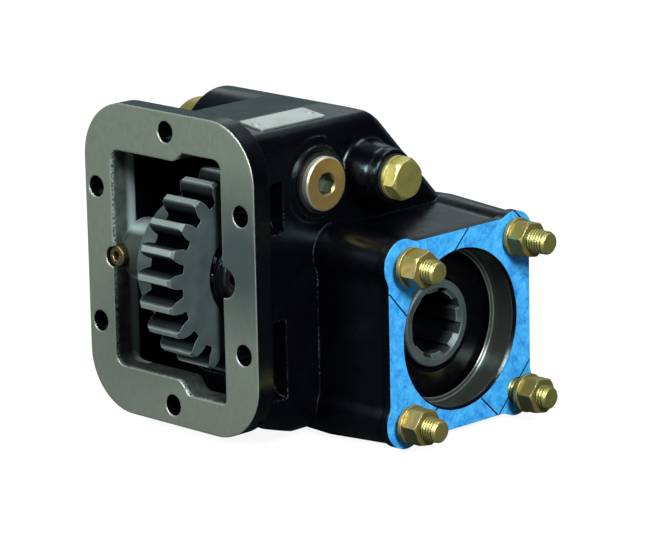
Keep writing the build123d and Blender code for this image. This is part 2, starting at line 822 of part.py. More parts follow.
for name, back_x, side in (("left", left_back_x, -1), ("right", right_back_x, 1)):
    cup = turned(
        idler_y,
        idler_z,
        [
            (back_x, idler_bearing_radius),
            (back_x + side * idler_cup_width, idler_bearing_radius),
            (back_x + side * idler_cup_width, cup_track(idler_cup_width)),
            (back_x, cup_track(0)),
        ],
    )
    cup.part.label = f"{name}_idler_bearing_cup"
    export_step(cup.part, f"parts/{name}_idler_bearing_cup.step")

    cone = turned(
        idler_y,
        idler_z,
        [
            (back_x, idler_shaft_radius),
            (back_x + side * idler_cone_width, idler_shaft_radius),
            (back_x + side * idler_cone_width, rib_radius),
            (back_x + side * rib_start, rib_radius),
            (back_x + side * rib_start, cone_track(rib_start)),
            (back_x + side * small_rib_width, cone_track(small_rib_width)),
            (back_x + side * small_rib_width, small_rib_radius),
            (back_x, small_rib_radius),
        ],
    )
    cone.part.label = f"{name}_idler_bearing_cone"
    export_step(cone.part, f"parts/{name}_idler_bearing_cone.step")

    rollers = roller_ring(back_x, side, 0)
    rollers.part.label = f"{name}_idler_bearing_rollers"
    export_step(rollers.part, f"parts/{name}_idler_bearing_rollers.step")

    cage_ring = turned(
        idler_y,
        idler_z,
        [
            (back_x + side * cage_start, roller_place(cage_start) + cage_offset),
            (back_x + side * cage_end, roller_place(cage_end) + cage_offset),
            (back_x + side * cage_end, roller_place(cage_end) + cage_offset + cage_thickness),
            (back_x + side * cage_start, roller_place(cage_start) + cage_offset + cage_thickness),
        ],
    )
    with BuildPart() as cage:
        add(cage_ring.part)
        add(roller_ring(back_x, side, cage_window_gap).part, mode=Mode.SUBTRACT)
    cage.part.label = f"{name}_idler_bearing_cage"
    export_step(cage.part, f"parts/{name}_idler_bearing_cage.step")

# Idler shaft with the two dimples that the lock screws press into
with BuildPart() as idler_shaft:
    with BuildSketch(idler_plane.offset(shaft_boss_left_x + core_plug_seat)):
        Circle(idler_shaft_radius)
    extrude(amount=idler_shaft_right_x - shaft_boss_left_x - core_plug_seat)
    with BuildSketch(mount_plane.offset(-lock_screw_end_y)):
        with Locations((left_lock_x, idler_z), (right_lock_x, idler_z)):
            Circle(lock_screw_radius)
    extrude(amount=lock_screw_end_y, mode=Mode.SUBTRACT)
idler_shaft.part.label = "idler_shaft"
export_step(idler_shaft.part, "parts/idler_shaft.step")

idler_spacer = turned(
    idler_y, idler_z, ring_profile(left_back_x, right_back_x, idler_shaft_radius, idler_spacer_radius)
)
idler_spacer.part.label = "idler_spacer"
export_step(idler_spacer.part, "parts/idler_spacer.step")

left_cone_end_x = left_back_x - idler_cone_width
right_cone_end_x = right_back_x + idler_cone_width
for name, left_x, right_x in (
    ("left_end_spacer", left_boss_face_x, left_cone_end_x),
    ("right_end_spacer", right_cone_end_x, right_boss_face_x),
):
    spacer = turned(
        idler_y, idler_z, ring_profile(left_x, right_x, idler_shaft_radius, end_spacer_radius)
    )
    spacer.part.label = name
    export_step(spacer.part, f"parts/{name}.step")

core_plug = turned(
    idler_y,
    idler_z,
    chamfered_ring(shaft_boss_left_x, shaft_boss_left_x + core_plug_seat, 0, core_plug_radius, small_chamfer),
)
core_plug.part.label = "core_plug"
export_step(core_plug.part, "parts/core_plug.step")

# Lock screws with a hexagon socket
for name, lock_x, head_y in (
    ("left_lock_screw", left_lock_x, left_lock_head_y),
    ("right_lock_screw", right_lock_x, right_lock_head_y),
):
    with BuildPart() as lock_screw:
        with BuildSketch(mount_plane.offset(-head_y)):
            with Locations((lock_x, idler_z)):
                Circle(lock_screw_radius)
        extrude(amount=-(lock_screw_end_y - head_y))
        chamfer(lock_screw.faces().sort_by(Axis.Y)[0].edges(), lock_screw_chamfer)
        with BuildSketch(mount_plane.offset(-head_y)):
            with Locations((lock_x, idler_z)):
                RegularPolygon(lock_socket_radius, 6, major_radius=False)
        extrude(amount=-lock_socket_depth, mode=Mode.SUBTRACT)
    lock_screw.part.label = name
    export_step(lock_screw.part, f"parts/{name}.step")

# Output shaft: rear journal, drive spline, front journal and sleeve with its internal spline
shaft_left_x = rear_bearing_left_x - shaft_overhang
rear_shoulder_left_x = rear_bearing_left_x + rear_bearing_width
output_shaft_body = turned(
    output_y,
    output_z,
    [
        (shaft_left_x, 0),
        (output_sleeve_end_x, 0),
        (output_sleeve_end_x, output_sleeve_radius - small_chamfer),
        (output_sleeve_end_x - small_chamfer, output_sleeve_radius),
        (ring_groove_x, output_sleeve_radius),
        (ring_groove_x, front_bearing_bore_radius),
        (front_bearing_left_x, front_bearing_bore_radius),
        (front_bearing_left_x, shaft_collar_radius),
        (drive_spline_right_x, shaft_collar_radius),
        (drive_spline_right_x, drive_spline_minor_radius),
        (drive_spline_left_x, drive_spline_minor_radius),
        (rear_shoulder_left_x, drive_spline_minor_radius),
        (rear_shoulder_left_x, rear_bearing_bore_radius),
        (shaft_left_x, rear_bearing_bore_radius),
    ],
)
with BuildPart() as output_shaft:
    add(output_shaft_body.part)
    with BuildSketch(output_plane.offset(drive_spline_left_x)):
        spline_section(
            drive_spline_minor_radius, drive_spline_major_radius, drive_spline_width, drive_spline_count, 0
        )
    extrude(amount=drive_spline_right_x - drive_spline_left_x)
    with BuildSketch(output_plane.offset(output_sleeve_end_x)):
        spline_section(
            spline_minor_radius, spline_major_radius, spline_groove_width, spline_groove_count, spline_phase
        )
    extrude(amount=-spline_depth, mode=Mode.SUBTRACT)
    with BuildSketch(output_plane.offset(output_sleeve_end_x)):
        Circle(spline_major_radius + spline_lead_gap)
    extrude(amount=-spline_lead, taper=45, mode=Mode.SUBTRACT)
output_shaft.part.label = "output_shaft"
export_step(output_shaft.part, "parts/output_shaft.step")

# Sliding output gear with its fork groove
groove_right_x = gear_left_x
groove_left_x = groove_right_x - fork_groove_width
rim_left_x = groove_left_x - fork_rim_width
output_blank = turned(
    output_y, output_z, chamfered_ring(gear_left_x, gear_right_x, 0, output_tip_radius, tooth_bevel)
)
with BuildPart() as sliding_gear:
    extrude(
        gear_section(output_plane.offset(gear_left_x), output_teeth, output_tooth_angle, root_fillet),
        amount=gear_face_width,
    )
    add(output_blank.part, mode=Mode.INTERSECT)
    with BuildSketch(output_plane.offset(rim_left_x)):
        Circle(fork_rim_radius)
    extrude(amount=fork_rim_width)
    with BuildSketch(output_plane.offset(groove_left_x)):
        Circle(fork_groove_radius)
    extrude(amount=fork_groove_width)
    with BuildSketch(output_plane.offset(rim_left_x)):
        spline_section(
            drive_spline_minor_radius + slide_clearance,
            drive_spline_major_radius + slide_clearance,
            drive_spline_width + 2 * slide_clearance,
            drive_spline_count,
            0,
        )
    extrude(amount=gear_right_x - rim_left_x, mode=Mode.SUBTRACT)
sliding_gear.part.label = "sliding_gear"
export_step(sliding_gear.part, "parts/sliding_gear.step")

# Roller bearings of the output shaft, with ribs on both rings
for name, left_x, width, bore, section in (
    ("front", front_bearing_left_x, front_bearing_width, front_bearing_bore_radius, front_bearing_section),
    ("rear", rear_bearing_left_x, rear_bearing_width, rear_bearing_bore_radius, rear_bearing_section),
):
    outer = bore + section
    place_radius = bore + section / 2
    output_roller_radius = section * output_roller_share
    inner_track = place_radius - output_roller_radius - running_gap
    outer_track = place_radius + output_roller_radius + running_gap
    track_left_x = left_x + bearing_rib_width
    track_right_x = left_x + width - bearing_rib_width
    for ring_name, wall_radius, track, rib in (
        ("inner_ring", bore, inner_track, inner_track + bearing_rib_height),
        ("outer_ring", outer, outer_track, outer_track - bearing_rib_height),
    ):
        ring = turned(
            output_y,
            output_z,
            [
                (left_x, wall_radius),
                (left_x + width, wall_radius),
                (left_x + width, rib),
                (track_right_x, rib),
                (track_right_x, track),
                (track_left_x, track),
                (track_left_x, rib),
                (left_x, rib),
            ],
        )
        ring.part.label = f"{name}_bearing_{ring_name}"
        export_step(ring.part, f"parts/{name}_bearing_{ring_name}.step")
    with BuildPart() as output_rollers:
        with BuildSketch(output_plane.offset(track_left_x + running_gap)):
            with PolarLocations(place_radius, output_roller_count):
                Circle(output_roller_radius)
        extrude(amount=track_right_x - track_left_x - 2 * running_gap)
    output_rollers.part.label = f"{name}_bearing_rollers"
    export_step(output_rollers.part, f"parts/{name}_bearing_rollers.step")

# Retaining ring in front of the front bearing
with BuildPart() as retaining_ring:
    with BuildSketch(output_plane.offset(ring_groove_x)):
        Circle(front_bearing_outer_radius + retaining_ring_depth - retaining_ring_fit)
        Circle(front_bearing_outer_radius - retaining_ring_inner, mode=Mode.SUBTRACT)
        with Locations((0, -front_bearing_outer_radius)):
            Rectangle(retaining_ring_gap, front_bearing_outer_radius, mode=Mode.SUBTRACT)
    extrude(amount=retaining_ring_width)
retaining_ring.part.label = "retaining_ring"
export_step(retaining_ring.part, "parts/retaining_ring.step")

# Shaft seal: steel case with a lip that runs on the sleeve
seal_back_x = seal_front_x - seal_width
shaft_seal = turned(
    output_y,
    output_z,
    [
        (seal_back_x, front_bearing_outer_radius - seal_wall),
        (seal_back_x, front_bearing_outer_radius),
        (seal_front_x, front_bearing_outer_radius),
        (seal_front_x, output_sleeve_radius + seal_lip_land),
        (seal_front_x - seal_lip_depth, output_sleeve_radius + seal_lip_gap),
        (seal_front_x - seal_face, output_sleeve_radius + seal_lip_gap),
        (seal_front_x - seal_face, front_bearing_outer_radius - seal_wall),
    ],
)
shaft_seal.part.label = "shaft_seal"
export_step(shaft_seal.part, "parts/shaft_seal.step")

# Rear bearing cover and its screws
cover_front_x = box_left_x
cover_left_x = cover_front_x - cover_thickness
with BuildPart() as rear_cover:
    with BuildSketch(output_plane.offset(cover_left_x)):
        Circle(cover_radius)
    extrude(amount=cover_thickness)
    chamfer(rear_cover.faces().sort_by(Axis.X)[0].edges(), cover_chamfer)
    with BuildSketch(output_plane.offset(cover_front_x)):
        Circle(rear_bearing_outer_radius - slide_clearance)
    extrude(amount=rear_bearing_left_x - cover_front_x)
    with BuildSketch(output_plane.offset(cover_front_x)):
        Circle(rear_bearing_outer_radius - cover_spigot_wall)
    extrude(amount=rear_bearing_left_x - cover_front_x, mode=Mode.SUBTRACT)
    with BuildSketch(output_plane.offset(cover_left_x)):
        with PolarLocations(cover_screw_place, cover_screw_count, start_angle=45):
            Circle(cover_screw_radius + bolt_clearance)
    extrude(amount=cover_thickness, mode=Mode.SUBTRACT)
rear_cover.part.label = "rear_bearing_cover"
export_step(rear_cover.part, "parts/rear_bearing_cover.step")

with BuildPart() as cover_screws:
    with BuildSketch(output_plane.offset(cover_left_x)):
        with PolarLocations(cover_screw_place, cover_screw_count, start_angle=45):
            Circle(cover_screw_radius)
    extrude(amount=cover_thickness + cover_screw_depth - seat_depth)
    with BuildSketch(output_plane.offset(cover_left_x)):
        with PolarLocations(cover_screw_place, cover_screw_count, start_angle=45):
            RegularPolygon(cover_screw_head_radius, 6, major_radius=False)
    extrude(amount=-cover_screw_head)
cover_screws.part.label = "cover_screws"
export_step(cover_screws.part, "parts/cover_screws.step")

# Shift rod, piston with its ring, end guide and fork
rod_right_x = piston_rest_x + piston_length
shift_rod = turned(
    shift_y, shift_z, chamfered_ring(guide_left_x, rod_right_x, 0, shift_rod_radius, small_chamfer)
)
shift_rod.part.label = "shift_rod"
export_step(shift_rod.part, "parts/shift_rod.step")

ring_left_x = piston_rest_x + (piston_length - piston_ring_width) / 2
ring_right_x = ring_left_x + piston_ring_width
piston_skirt = piston_radius - slide_clearance
shift_piston = turned(
    shift_y,
    shift_z,
    [
        (piston_rest_x, shift_rod_radius),
        (rod_right_x, shift_rod_radius),
        (rod_right_x, piston_skirt),
        (ring_right_x, piston_skirt),
        (ring_right_x, piston_skirt - piston_ring_depth),
        (ring_left_x, piston_skirt - piston_ring_depth),
        (ring_left_x, piston_skirt),
        (piston_rest_x, piston_skirt),
    ],
)
shift_piston.part.label = "shift_piston"
export_step(shift_piston.part, "parts/shift_piston.step")

piston_ring = turned(
    shift_y, shift_z, ring_profile(ring_left_x, ring_right_x, piston_skirt - piston_ring_depth, piston_skirt)
)
piston_ring.part.label = "piston_ring"
export_step(piston_ring.part, "parts/piston_ring.step")

rod_guide = turned(
    shift_y,
    shift_z,
    chamfered_ring(
        guide_left_x,
        guide_left_x + guide_length,
        shift_rod_radius,
        cap_bore_radius - slide_clearance,
        small_chamfer,
    ),
)
rod_guide.part.label = "rod_guide"
export_step(rod_guide.part, "parts/rod_guide.step")

fork_middle_x = (groove_left_x + groove_right_x) / 2
fork_thickness = fork_groove_width - 2 * face_gap
fork_direction = degrees(atan2(shift_z - output_z, shift_y - output_y))
with BuildPart() as shift_fork:
    with BuildSketch(output_plane.offset(fork_middle_x - fork_thickness / 2)):
        Circle(fork_outer_radius)
        Circle(fork_groove_radius + running_gap, mode=Mode.SUBTRACT)
        with BuildLine():
            free_start = fork_direction + fork_idler_span
            free_step = (360 - fork_idler_span - fork_free_span) / 4
            free_points = [polar(2 * fork_outer_radius, free_start + step * free_step) for step in range(5)]
            Polyline((0, 0), *free_points, close=True)
        make_face(mode=Mode.SUBTRACT)
    extrude(amount=fork_thickness)
    with BuildSketch(output_plane.offset(fork_middle_x - fork_thickness / 2)):
        with BuildLine():
            neck_base = fork_groove_radius + running_gap + fork_neck_root
            Polyline(
                polar(neck_base, fork_direction + fork_neck_angle),
                polar(neck_base, fork_direction - fork_neck_angle),
                (shift_y - output_y + fork_neck_half, shift_z - output_z),
                (shift_y - output_y - fork_neck_half, shift_z - output_z),
                close=True,
            )
        make_face()
    extrude(amount=fork_thickness)
    with BuildSketch(shift_plane.offset(fork_middle_x - fork_boss_length / 2)):
        Circle(fork_boss_radius)
    extrude(amount=fork_boss_length)
    with BuildSketch(shift_plane.offset(fork_middle_x - fork_boss_length / 2)):
        Circle(shift_rod_radius)
    extrude(amount=fork_boss_length, mode=Mode.SUBTRACT)
shift_fork.part.label = "shift_fork"
export_step(shift_fork.part, "parts/shift_fork.step")

# Cap of the shift cylinder, its seal and the return spring
cap_inner_x = cap_outer_x + cap_wall
cap_seal_right_x = upper_left_x
cap_seal_left_x = cap_seal_right_x - cap_seal_thickness
shift_cap = turned(
    shift_y,
    shift_z,
    [
        (cap_outer_x, 0),
        (cap_outer_x, cap_radius - cap_chamfer),
        (cap_outer_x + cap_chamfer, cap_radius),
        (cap_seal_left_x, cap_radius),
        (cap_seal_left_x, cap_spigot_radius - shaft_clearance),
        (cap_spigot_end_x - cap_end_gap, cap_spigot_radius - shaft_clearance),
        (cap_spigot_end_x - cap_end_gap, cap_bore_radius),
        (cap_inner_x, cap_bore_radius),
        (cap_inner_x, 0),
    ],
)
shift_cap.part.label = "shift_cylinder_cap"
export_step(shift_cap.part, "parts/shift_cylinder_cap.step")

cap_seal = turned(
    shift_y,
    shift_z,
    ring_profile(cap_seal_left_x, cap_seal_right_x, cap_spigot_radius, cap_radius + cap_seal_overhang),
)
cap_seal.part.label = "cap_seal"
export_step(cap_seal.part, "parts/cap_seal.step")

spring_left_x = cap_inner_x + spring_wire_radius + spring_end_gap
spring_right_x = guide_left_x - spring_wire_radius - spring_end_gap
spring_length = spring_right_x - spring_left_x
with BuildPart() as return_spring:
    with BuildLine():
        coil = Helix(
            pitch=spring_length / spring_coils,
            height=spring_length,
            radius=spring_radius,
            center=(spring_left_x, shift_y, shift_z),
            direction=(1, 0, 0),
        )
    with BuildSketch(Plane(origin=coil @ 0, x_dir=(0, 1, 0), z_dir=coil % 0)):
        Rectangle(spring_wire_width, 2 * spring_wire_radius)
    sweep(is_frenet=True)
return_spring.part.label = "return_spring"
export_step(return_spring.part, "parts/return_spring.step")

# Socket plug and hexagon plug with their washers
socket_seat_x = wall_right_x + socket_boss_height
socket_head_x = socket_seat_x + plug_washer_thickness
with BuildPart() as socket_plug:
    with BuildSketch(socket_plane.offset(socket_head_x)):
        Circle(socket_plug_radius)
    extrude(amount=socket_plug_head)
    chamfer(socket_plug.faces().sort_by(Axis.X)[-1].edges(), small_chamfer)
    with BuildSketch(socket_plane.offset(socket_head_x)):
        Circle(socket_plug_thread_radius - shaft_clearance)
    extrude(amount=-socket_plug_thread_length)
    with BuildSketch(socket_plane.offset(socket_head_x + socket_plug_head)):
        RegularPolygon(socket_plug_across_flats / 2, 6, major_radius=False)
    extrude(amount=-socket_plug_hex_depth, mode=Mode.SUBTRACT)
    with BuildSketch(socket_plane.offset(socket_head_x + socket_plug_head)):
        Circle(socket_plug_across_flats / sqrt(3) + socket_lead_gap)
    extrude(amount=-socket_plug_lead, taper=45, mode=Mode.SUBTRACT)
socket_plug.part.label = "socket_plug"
export_step(socket_plug.part, "parts/socket_plug.step")

socket_washer = turned(
    socket_plug_y,
    socket_plug_z,
    ring_profile(socket_seat_x, socket_head_x, socket_plug_thread_radius, socket_washer_radius),
)
socket_washer.part.label = "socket_plug_washer"
export_step(socket_washer.part, "parts/socket_plug_washer.step")

collar_x = hex_boss_front_x + plug_washer_thickness
hex_head_x = collar_x + hex_plug_collar
hex_crown = turned(
    shift_y,
    shift_z,
    [
        (hex_head_x, 0),
        (hex_head_x, hex_plug_collar_radius),
        (hex_head_x + hex_plug_head - hex_crown_height, hex_plug_across_flats / sqrt(3)),
        (hex_head_x + hex_plug_head, hex_plug_across_flats / 2 - hex_crown_inset),
        (hex_head_x + hex_plug_head, 0),
    ],
)
with BuildPart() as hex_plug:
    with BuildSketch(shift_plane.offset(hex_head_x)):
        RegularPolygon(hex_plug_across_flats / 2, 6, major_radius=False, rotation=hex_plug_turn)
    extrude(amount=hex_plug_head)
    add(hex_crown.part, mode=Mode.INTERSECT)
    with BuildSketch(shift_plane.offset(collar_x)):
        Circle(hex_plug_collar_radius)
    extrude(amount=hex_plug_collar)
    with BuildSketch(shift_plane.offset(collar_x)):
        Circle(hex_plug_thread_radius - shaft_clearance)
    extrude(amount=-hex_plug_thread_length)
hex_plug.part.label = "hex_plug"
export_step(hex_plug.part, "parts/hex_plug.step")

hex_washer_radius = hex_plug_collar_radius + hex_washer_overhang
hex_washer = turned(
    shift_y, shift_z, ring_profile(hex_boss_front_x, collar_x, hex_plug_thread_radius, hex_washer_radius)
)
hex_washer.part.label = "hex_plug_washer"
export_step(hex_washer.part, "parts/hex_plug_washer.step")

# Gasket, studs, washers and nuts of the pump flange
with BuildPart() as gasket:
    extrude(pump_section(pump_face_x, 0), amount=gasket_thickness)
    with BuildSketch(output_plane.offset(pump_face_x)):
        Circle(pilot_radius + gasket_bore_clearance)
        with GridLocations(pump_stud_spacing, pump_stud_spacing, 2, 2):
            Circle(stud_radius + bolt_clearance)
    extrude(amount=gasket_thickness, mode=Mode.SUBTRACT)
gasket.part.label = "gasket"
export_step(gasket.part, "parts/gasket.step")

stud_left_x = pump_face_x - stud_thread_depth + seat_depth
gasket_face_x = pump_face_x + gasket_thickness
stud_place = pump_stud_spacing / 2
for name, side_y, side_up, gap, turn in (
    ("upper_left", -1, 1, upper_left_nut_gap, upper_left_nut_turn),
    ("upper_right", 1, 1, upper_right_nut_gap, upper_right_nut_turn),
    ("lower_left", -1, -1, lower_left_nut_gap, lower_left_nut_turn),
    ("lower_right", 1, -1, lower_right_nut_gap, lower_right_nut_turn),
):
    stud_y = output_y + side_y * stud_place
    stud_z = output_z + side_up * stud_place
    stud = turned(
        stud_y, stud_z, chamfered_ring(stud_left_x, stud_left_x + stud_length, 0, stud_radius, stud_chamfer)
    )
    stud.part.label = f"{name}_stud"
    export_step(stud.part, f"parts/{name}_stud.step")

    washer_x = gasket_face_x + gap
    washer = turned(
        stud_y, stud_z, ring_profile(washer_x, washer_x + washer_thickness, stud_radius, washer_radius)
    )
    washer.part.label = f"{name}_washer"
    export_step(washer.part, f"parts/{name}_washer.step")

    nut_x = washer_x + washer_thickness
    nut_plane = Plane(origin=(nut_x, stud_y, stud_z), x_dir=(0, 1, 0), z_dir=(1, 0, 0))
    corner_radius = nut_across_flats / sqrt(3)
    crown = turned(
        stud_y, stud_z, chamfered_ring(nut_x, nut_x + nut_height, stud_radius, corner_radius, nut_crown)
    )
    with BuildPart() as nut:
        with BuildSketch(nut_plane):
            RegularPolygon(nut_across_flats / 2, 6, major_radius=False, rotation=turn)
        extrude(amount=nut_height)
        add(crown.part, mode=Mode.INTERSECT)
    nut.part.label = f"{name}_nut"
    export_step(nut.part, f"parts/{name}_nut.step")

# Name plate on the slanted strip, with two rivets
plate_z = top_z - (plate_x - strip_left_x) * tan(radians(plate_tilt))
plate_plane = Plane(
    origin=(plate_x, plate_y, plate_z),
    x_dir=(cos(radians(plate_tilt)), 0, -sin(radians(plate_tilt))),
    z_dir=(sin(radians(plate_tilt)), 0, cos(radians(plate_tilt))),
)
rivet_spacing = plate_length - 2 * plate_rivet_margin
with BuildPart() as name_plate:
    with BuildSketch(plate_plane):
        RectangleRounded(plate_width, plate_length, plate_corner)
        with GridLocations(0, rivet_spacing, 1, 2):
            Circle(rivet_radius, mode=Mode.SUBTRACT)
    extrude(amount=plate_thickness)
name_plate.part.label = "name_plate"
export_step(name_plate.part, "parts/name_plate.step")

with BuildPart() as plate_rivets:
    with BuildSketch(plate_plane):
        with GridLocations(0, rivet_spacing, 1, 2):
            Circle(rivet_radius)
    extrude(amount=plate_thickness)
    with BuildSketch(plate_plane.offset(plate_thickness)):
        with GridLocations(0, rivet_spacing, 1, 2):
            Circle(rivet_head_radius)
    extrude(amount=rivet_height, taper=rivet_slope)
plate_rivets.part.label = "plate_rivets"
export_step(plate_rivets.part, "parts/plate_rivets.step")
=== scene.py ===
import json
from math import cos, pi, radians, sin

import bmesh
import bpy
from mathutils import Matrix, Vector


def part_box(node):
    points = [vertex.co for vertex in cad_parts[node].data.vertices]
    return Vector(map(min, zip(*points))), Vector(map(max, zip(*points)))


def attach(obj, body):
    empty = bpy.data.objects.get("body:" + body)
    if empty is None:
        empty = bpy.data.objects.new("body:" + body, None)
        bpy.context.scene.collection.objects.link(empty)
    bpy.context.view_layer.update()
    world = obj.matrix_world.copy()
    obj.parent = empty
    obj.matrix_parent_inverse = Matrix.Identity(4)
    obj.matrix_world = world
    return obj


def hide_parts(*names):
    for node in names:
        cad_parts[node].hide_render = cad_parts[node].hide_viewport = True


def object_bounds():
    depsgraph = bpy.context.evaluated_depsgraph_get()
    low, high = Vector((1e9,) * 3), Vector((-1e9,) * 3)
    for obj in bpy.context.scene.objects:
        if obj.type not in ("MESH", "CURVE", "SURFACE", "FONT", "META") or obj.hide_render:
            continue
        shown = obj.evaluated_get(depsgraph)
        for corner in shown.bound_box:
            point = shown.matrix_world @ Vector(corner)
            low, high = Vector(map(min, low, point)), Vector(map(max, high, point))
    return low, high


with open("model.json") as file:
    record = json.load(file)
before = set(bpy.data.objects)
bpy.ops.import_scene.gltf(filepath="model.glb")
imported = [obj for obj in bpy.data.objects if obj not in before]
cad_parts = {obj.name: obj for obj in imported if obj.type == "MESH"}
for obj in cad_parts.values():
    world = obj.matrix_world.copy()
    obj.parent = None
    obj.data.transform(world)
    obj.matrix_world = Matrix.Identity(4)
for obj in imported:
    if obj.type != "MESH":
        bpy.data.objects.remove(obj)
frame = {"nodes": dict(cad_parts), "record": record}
cad_low, cad_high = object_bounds()
nodes = frame["nodes"]

# Lengths are in metres, and colours are linear red, green and blue

# Places taken from the frame
spline_mount = [mount for mount in frame["record"]["mounts"] if mount["name"] == "output_spline"][0]
OUTPUT_Y = spline_mount["pos_m"][1]
OUTPUT_Z = spline_mount["pos_m"][2]
idler_low, idler_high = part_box("idler_shaft")
IDLER_Y = (idler_low.y + idler_high.y) / 2
IDLER_Z = (idler_low.z + idler_high.z) / 2
SLEEVE_END_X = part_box("output_shaft")[1].x
plug_low, plug_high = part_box("socket_plug")
PLUG_Y = (plug_low.y + plug_high.y) / 2
PLUG_Z = (plug_low.z + plug_high.z) / 2
PLUG_FACE_X = plug_high.x

# Camera: place, angles and lens match the photograph
CAMERA_AZIMUTH = 45.4505
CAMERA_ELEVATION = 13.9727
CAMERA_ROLL = -1.2449
CAMERA_OFFSET = Vector((0.076549, -0.000148, 1.98646))
CAMERA_LENS = 222.78
CAMERA_REACH = 50.0
SENSOR_WIDTH = 36.0


def add_camera():
    azimuth = radians(CAMERA_AZIMUTH)
    elevation = radians(CAMERA_ELEVATION)
    roll = radians(CAMERA_ROLL)
    back = Vector((sin(azimuth) * cos(elevation), -cos(azimuth) * cos(elevation), sin(elevation)))
    right = Vector((cos(azimuth), sin(azimuth), 0))
    up = back.cross(right)
    rolled_right = right * cos(roll) + up * sin(roll)
    rolled_up = up * cos(roll) - right * sin(roll)
    turn = Matrix((rolled_right, rolled_up, back)).transposed()
    data = bpy.data.cameras.new("camera")
    data.lens = CAMERA_LENS
    data.sensor_width = SENSOR_WIDTH
    data.sensor_fit = "HORIZONTAL"
    data.clip_end = CAMERA_REACH
    camera = bpy.data.objects.new("camera", data)
    camera.matrix_world = Matrix.Translation(turn @ CAMERA_OFFSET) @ turn.to_4x4()
    bpy.context.scene.collection.objects.link(camera)
    bpy.context.scene.camera = camera


# Sockets of the mix node that share a name, by their number
MIX_FIRST_NUMBER = 2
MIX_SECOND_NUMBER = 3
MIX_FIRST_COLOR = 6
MIX_SECOND_COLOR = 7
MIX_NUMBER_RESULT = 0
MIX_COLOR_RESULT = 2

# Range of a noise texture that becomes the range between two tones
NOISE_LOW = 0.3
NOISE_HIGH = 0.7

# Edges: cosine between the surface's normal and the bevelled one, on a flat and on a sharp edge
FLAT_COSINE = 0.995
EDGE_COSINE = 0.8
BEVEL_SAMPLES = 6


class Nodes:
    """Short calls that add nodes to a shader tree."""

    def __init__(self, tree):
        self.tree = tree

    def node(self, kind, **properties):
        made = self.tree.nodes.new(kind)
        for key, value in properties.items():
            setattr(made, key, value)
        return made

    def put(self, target, value):
        if isinstance(value, bpy.types.NodeSocket):
            self.tree.links.new(value, target)
        else:
            target.default_value = value

    def math(self, operation, *values):
        made = self.node("ShaderNodeMath", operation=operation)
        for target, value in zip(made.inputs, values):
            self.put(target, value)
        return made.outputs[0]

    def times(self, product, *values):
        """Product of all the values."""
        for value in values:
            product = self.math("MULTIPLY", product, value)
        return product

    def above(self, value, limit):
        """1 where the value is over the limit."""
        return self.math("GREATER_THAN", value, limit)

    def below(self, value, limit):
        """1 where the value is under the limit."""
        return self.math("LESS_THAN", value, limit)

    def inside(self, value, low, high):
        """1 where low < value < high."""
        return self.times(self.above(value, low), self.below(value, high))

    def span(self, value, low, high, to_low=0.0, to_high=1.0):
        """The value's range from low to high, stretched to another range and held there."""
        made = self.node("ShaderNodeMapRange", clamp=True)
        self.put(made.inputs["Value"], value)
        self.put(made.inputs["From Min"], low)
        self.put(made.inputs["From Max"], high)
        self.put(made.inputs["To Min"], to_low)
        self.put(made.inputs["To Max"], to_high)
        return made.outputs["Result"]

    def clouds(self, noise, to_low=0.0, to_high=1.0):
        """The middle range of a noise texture, stretched to another range."""
        return self.span(noise, NOISE_LOW, NOISE_HIGH, to_low, to_high)

    def mix(self, factor, first, second):
        """A colour between two colours."""
        made = self.node("ShaderNodeMix", data_type="RGBA")
        self.put(made.inputs["Factor"], factor)
        for index, value in ((MIX_FIRST_COLOR, first), (MIX_SECOND_COLOR, second)):
            if not isinstance(value, bpy.types.NodeSocket):
                value = (*value, 1.0)
            self.put(made.inputs[index], value)
        return made.outputs[MIX_COLOR_RESULT]

    def blend(self, factor, first, second):
        """A number between two numbers."""
        made = self.node("ShaderNodeMix", data_type="FLOAT")
        self.put(made.inputs["Factor"], factor)
        self.put(made.inputs[MIX_FIRST_NUMBER], first)
        self.put(made.inputs[MIX_SECOND_NUMBER], second)
        return made.outputs[MIX_NUMBER_RESULT]

    def dot(self, first, second):
        made = self.node("ShaderNodeVectorMath", operation="DOT_PRODUCT")
        self.put(made.inputs[0], first)
        self.put(made.inputs[1], second)
        return made.outputs["Value"]

    def axes(self, vector):
        made = self.node("ShaderNodeSeparateXYZ")
        self.put(made.inputs[0], vector)
        return made.outputs[0], made.outputs[1], made.outputs[2]


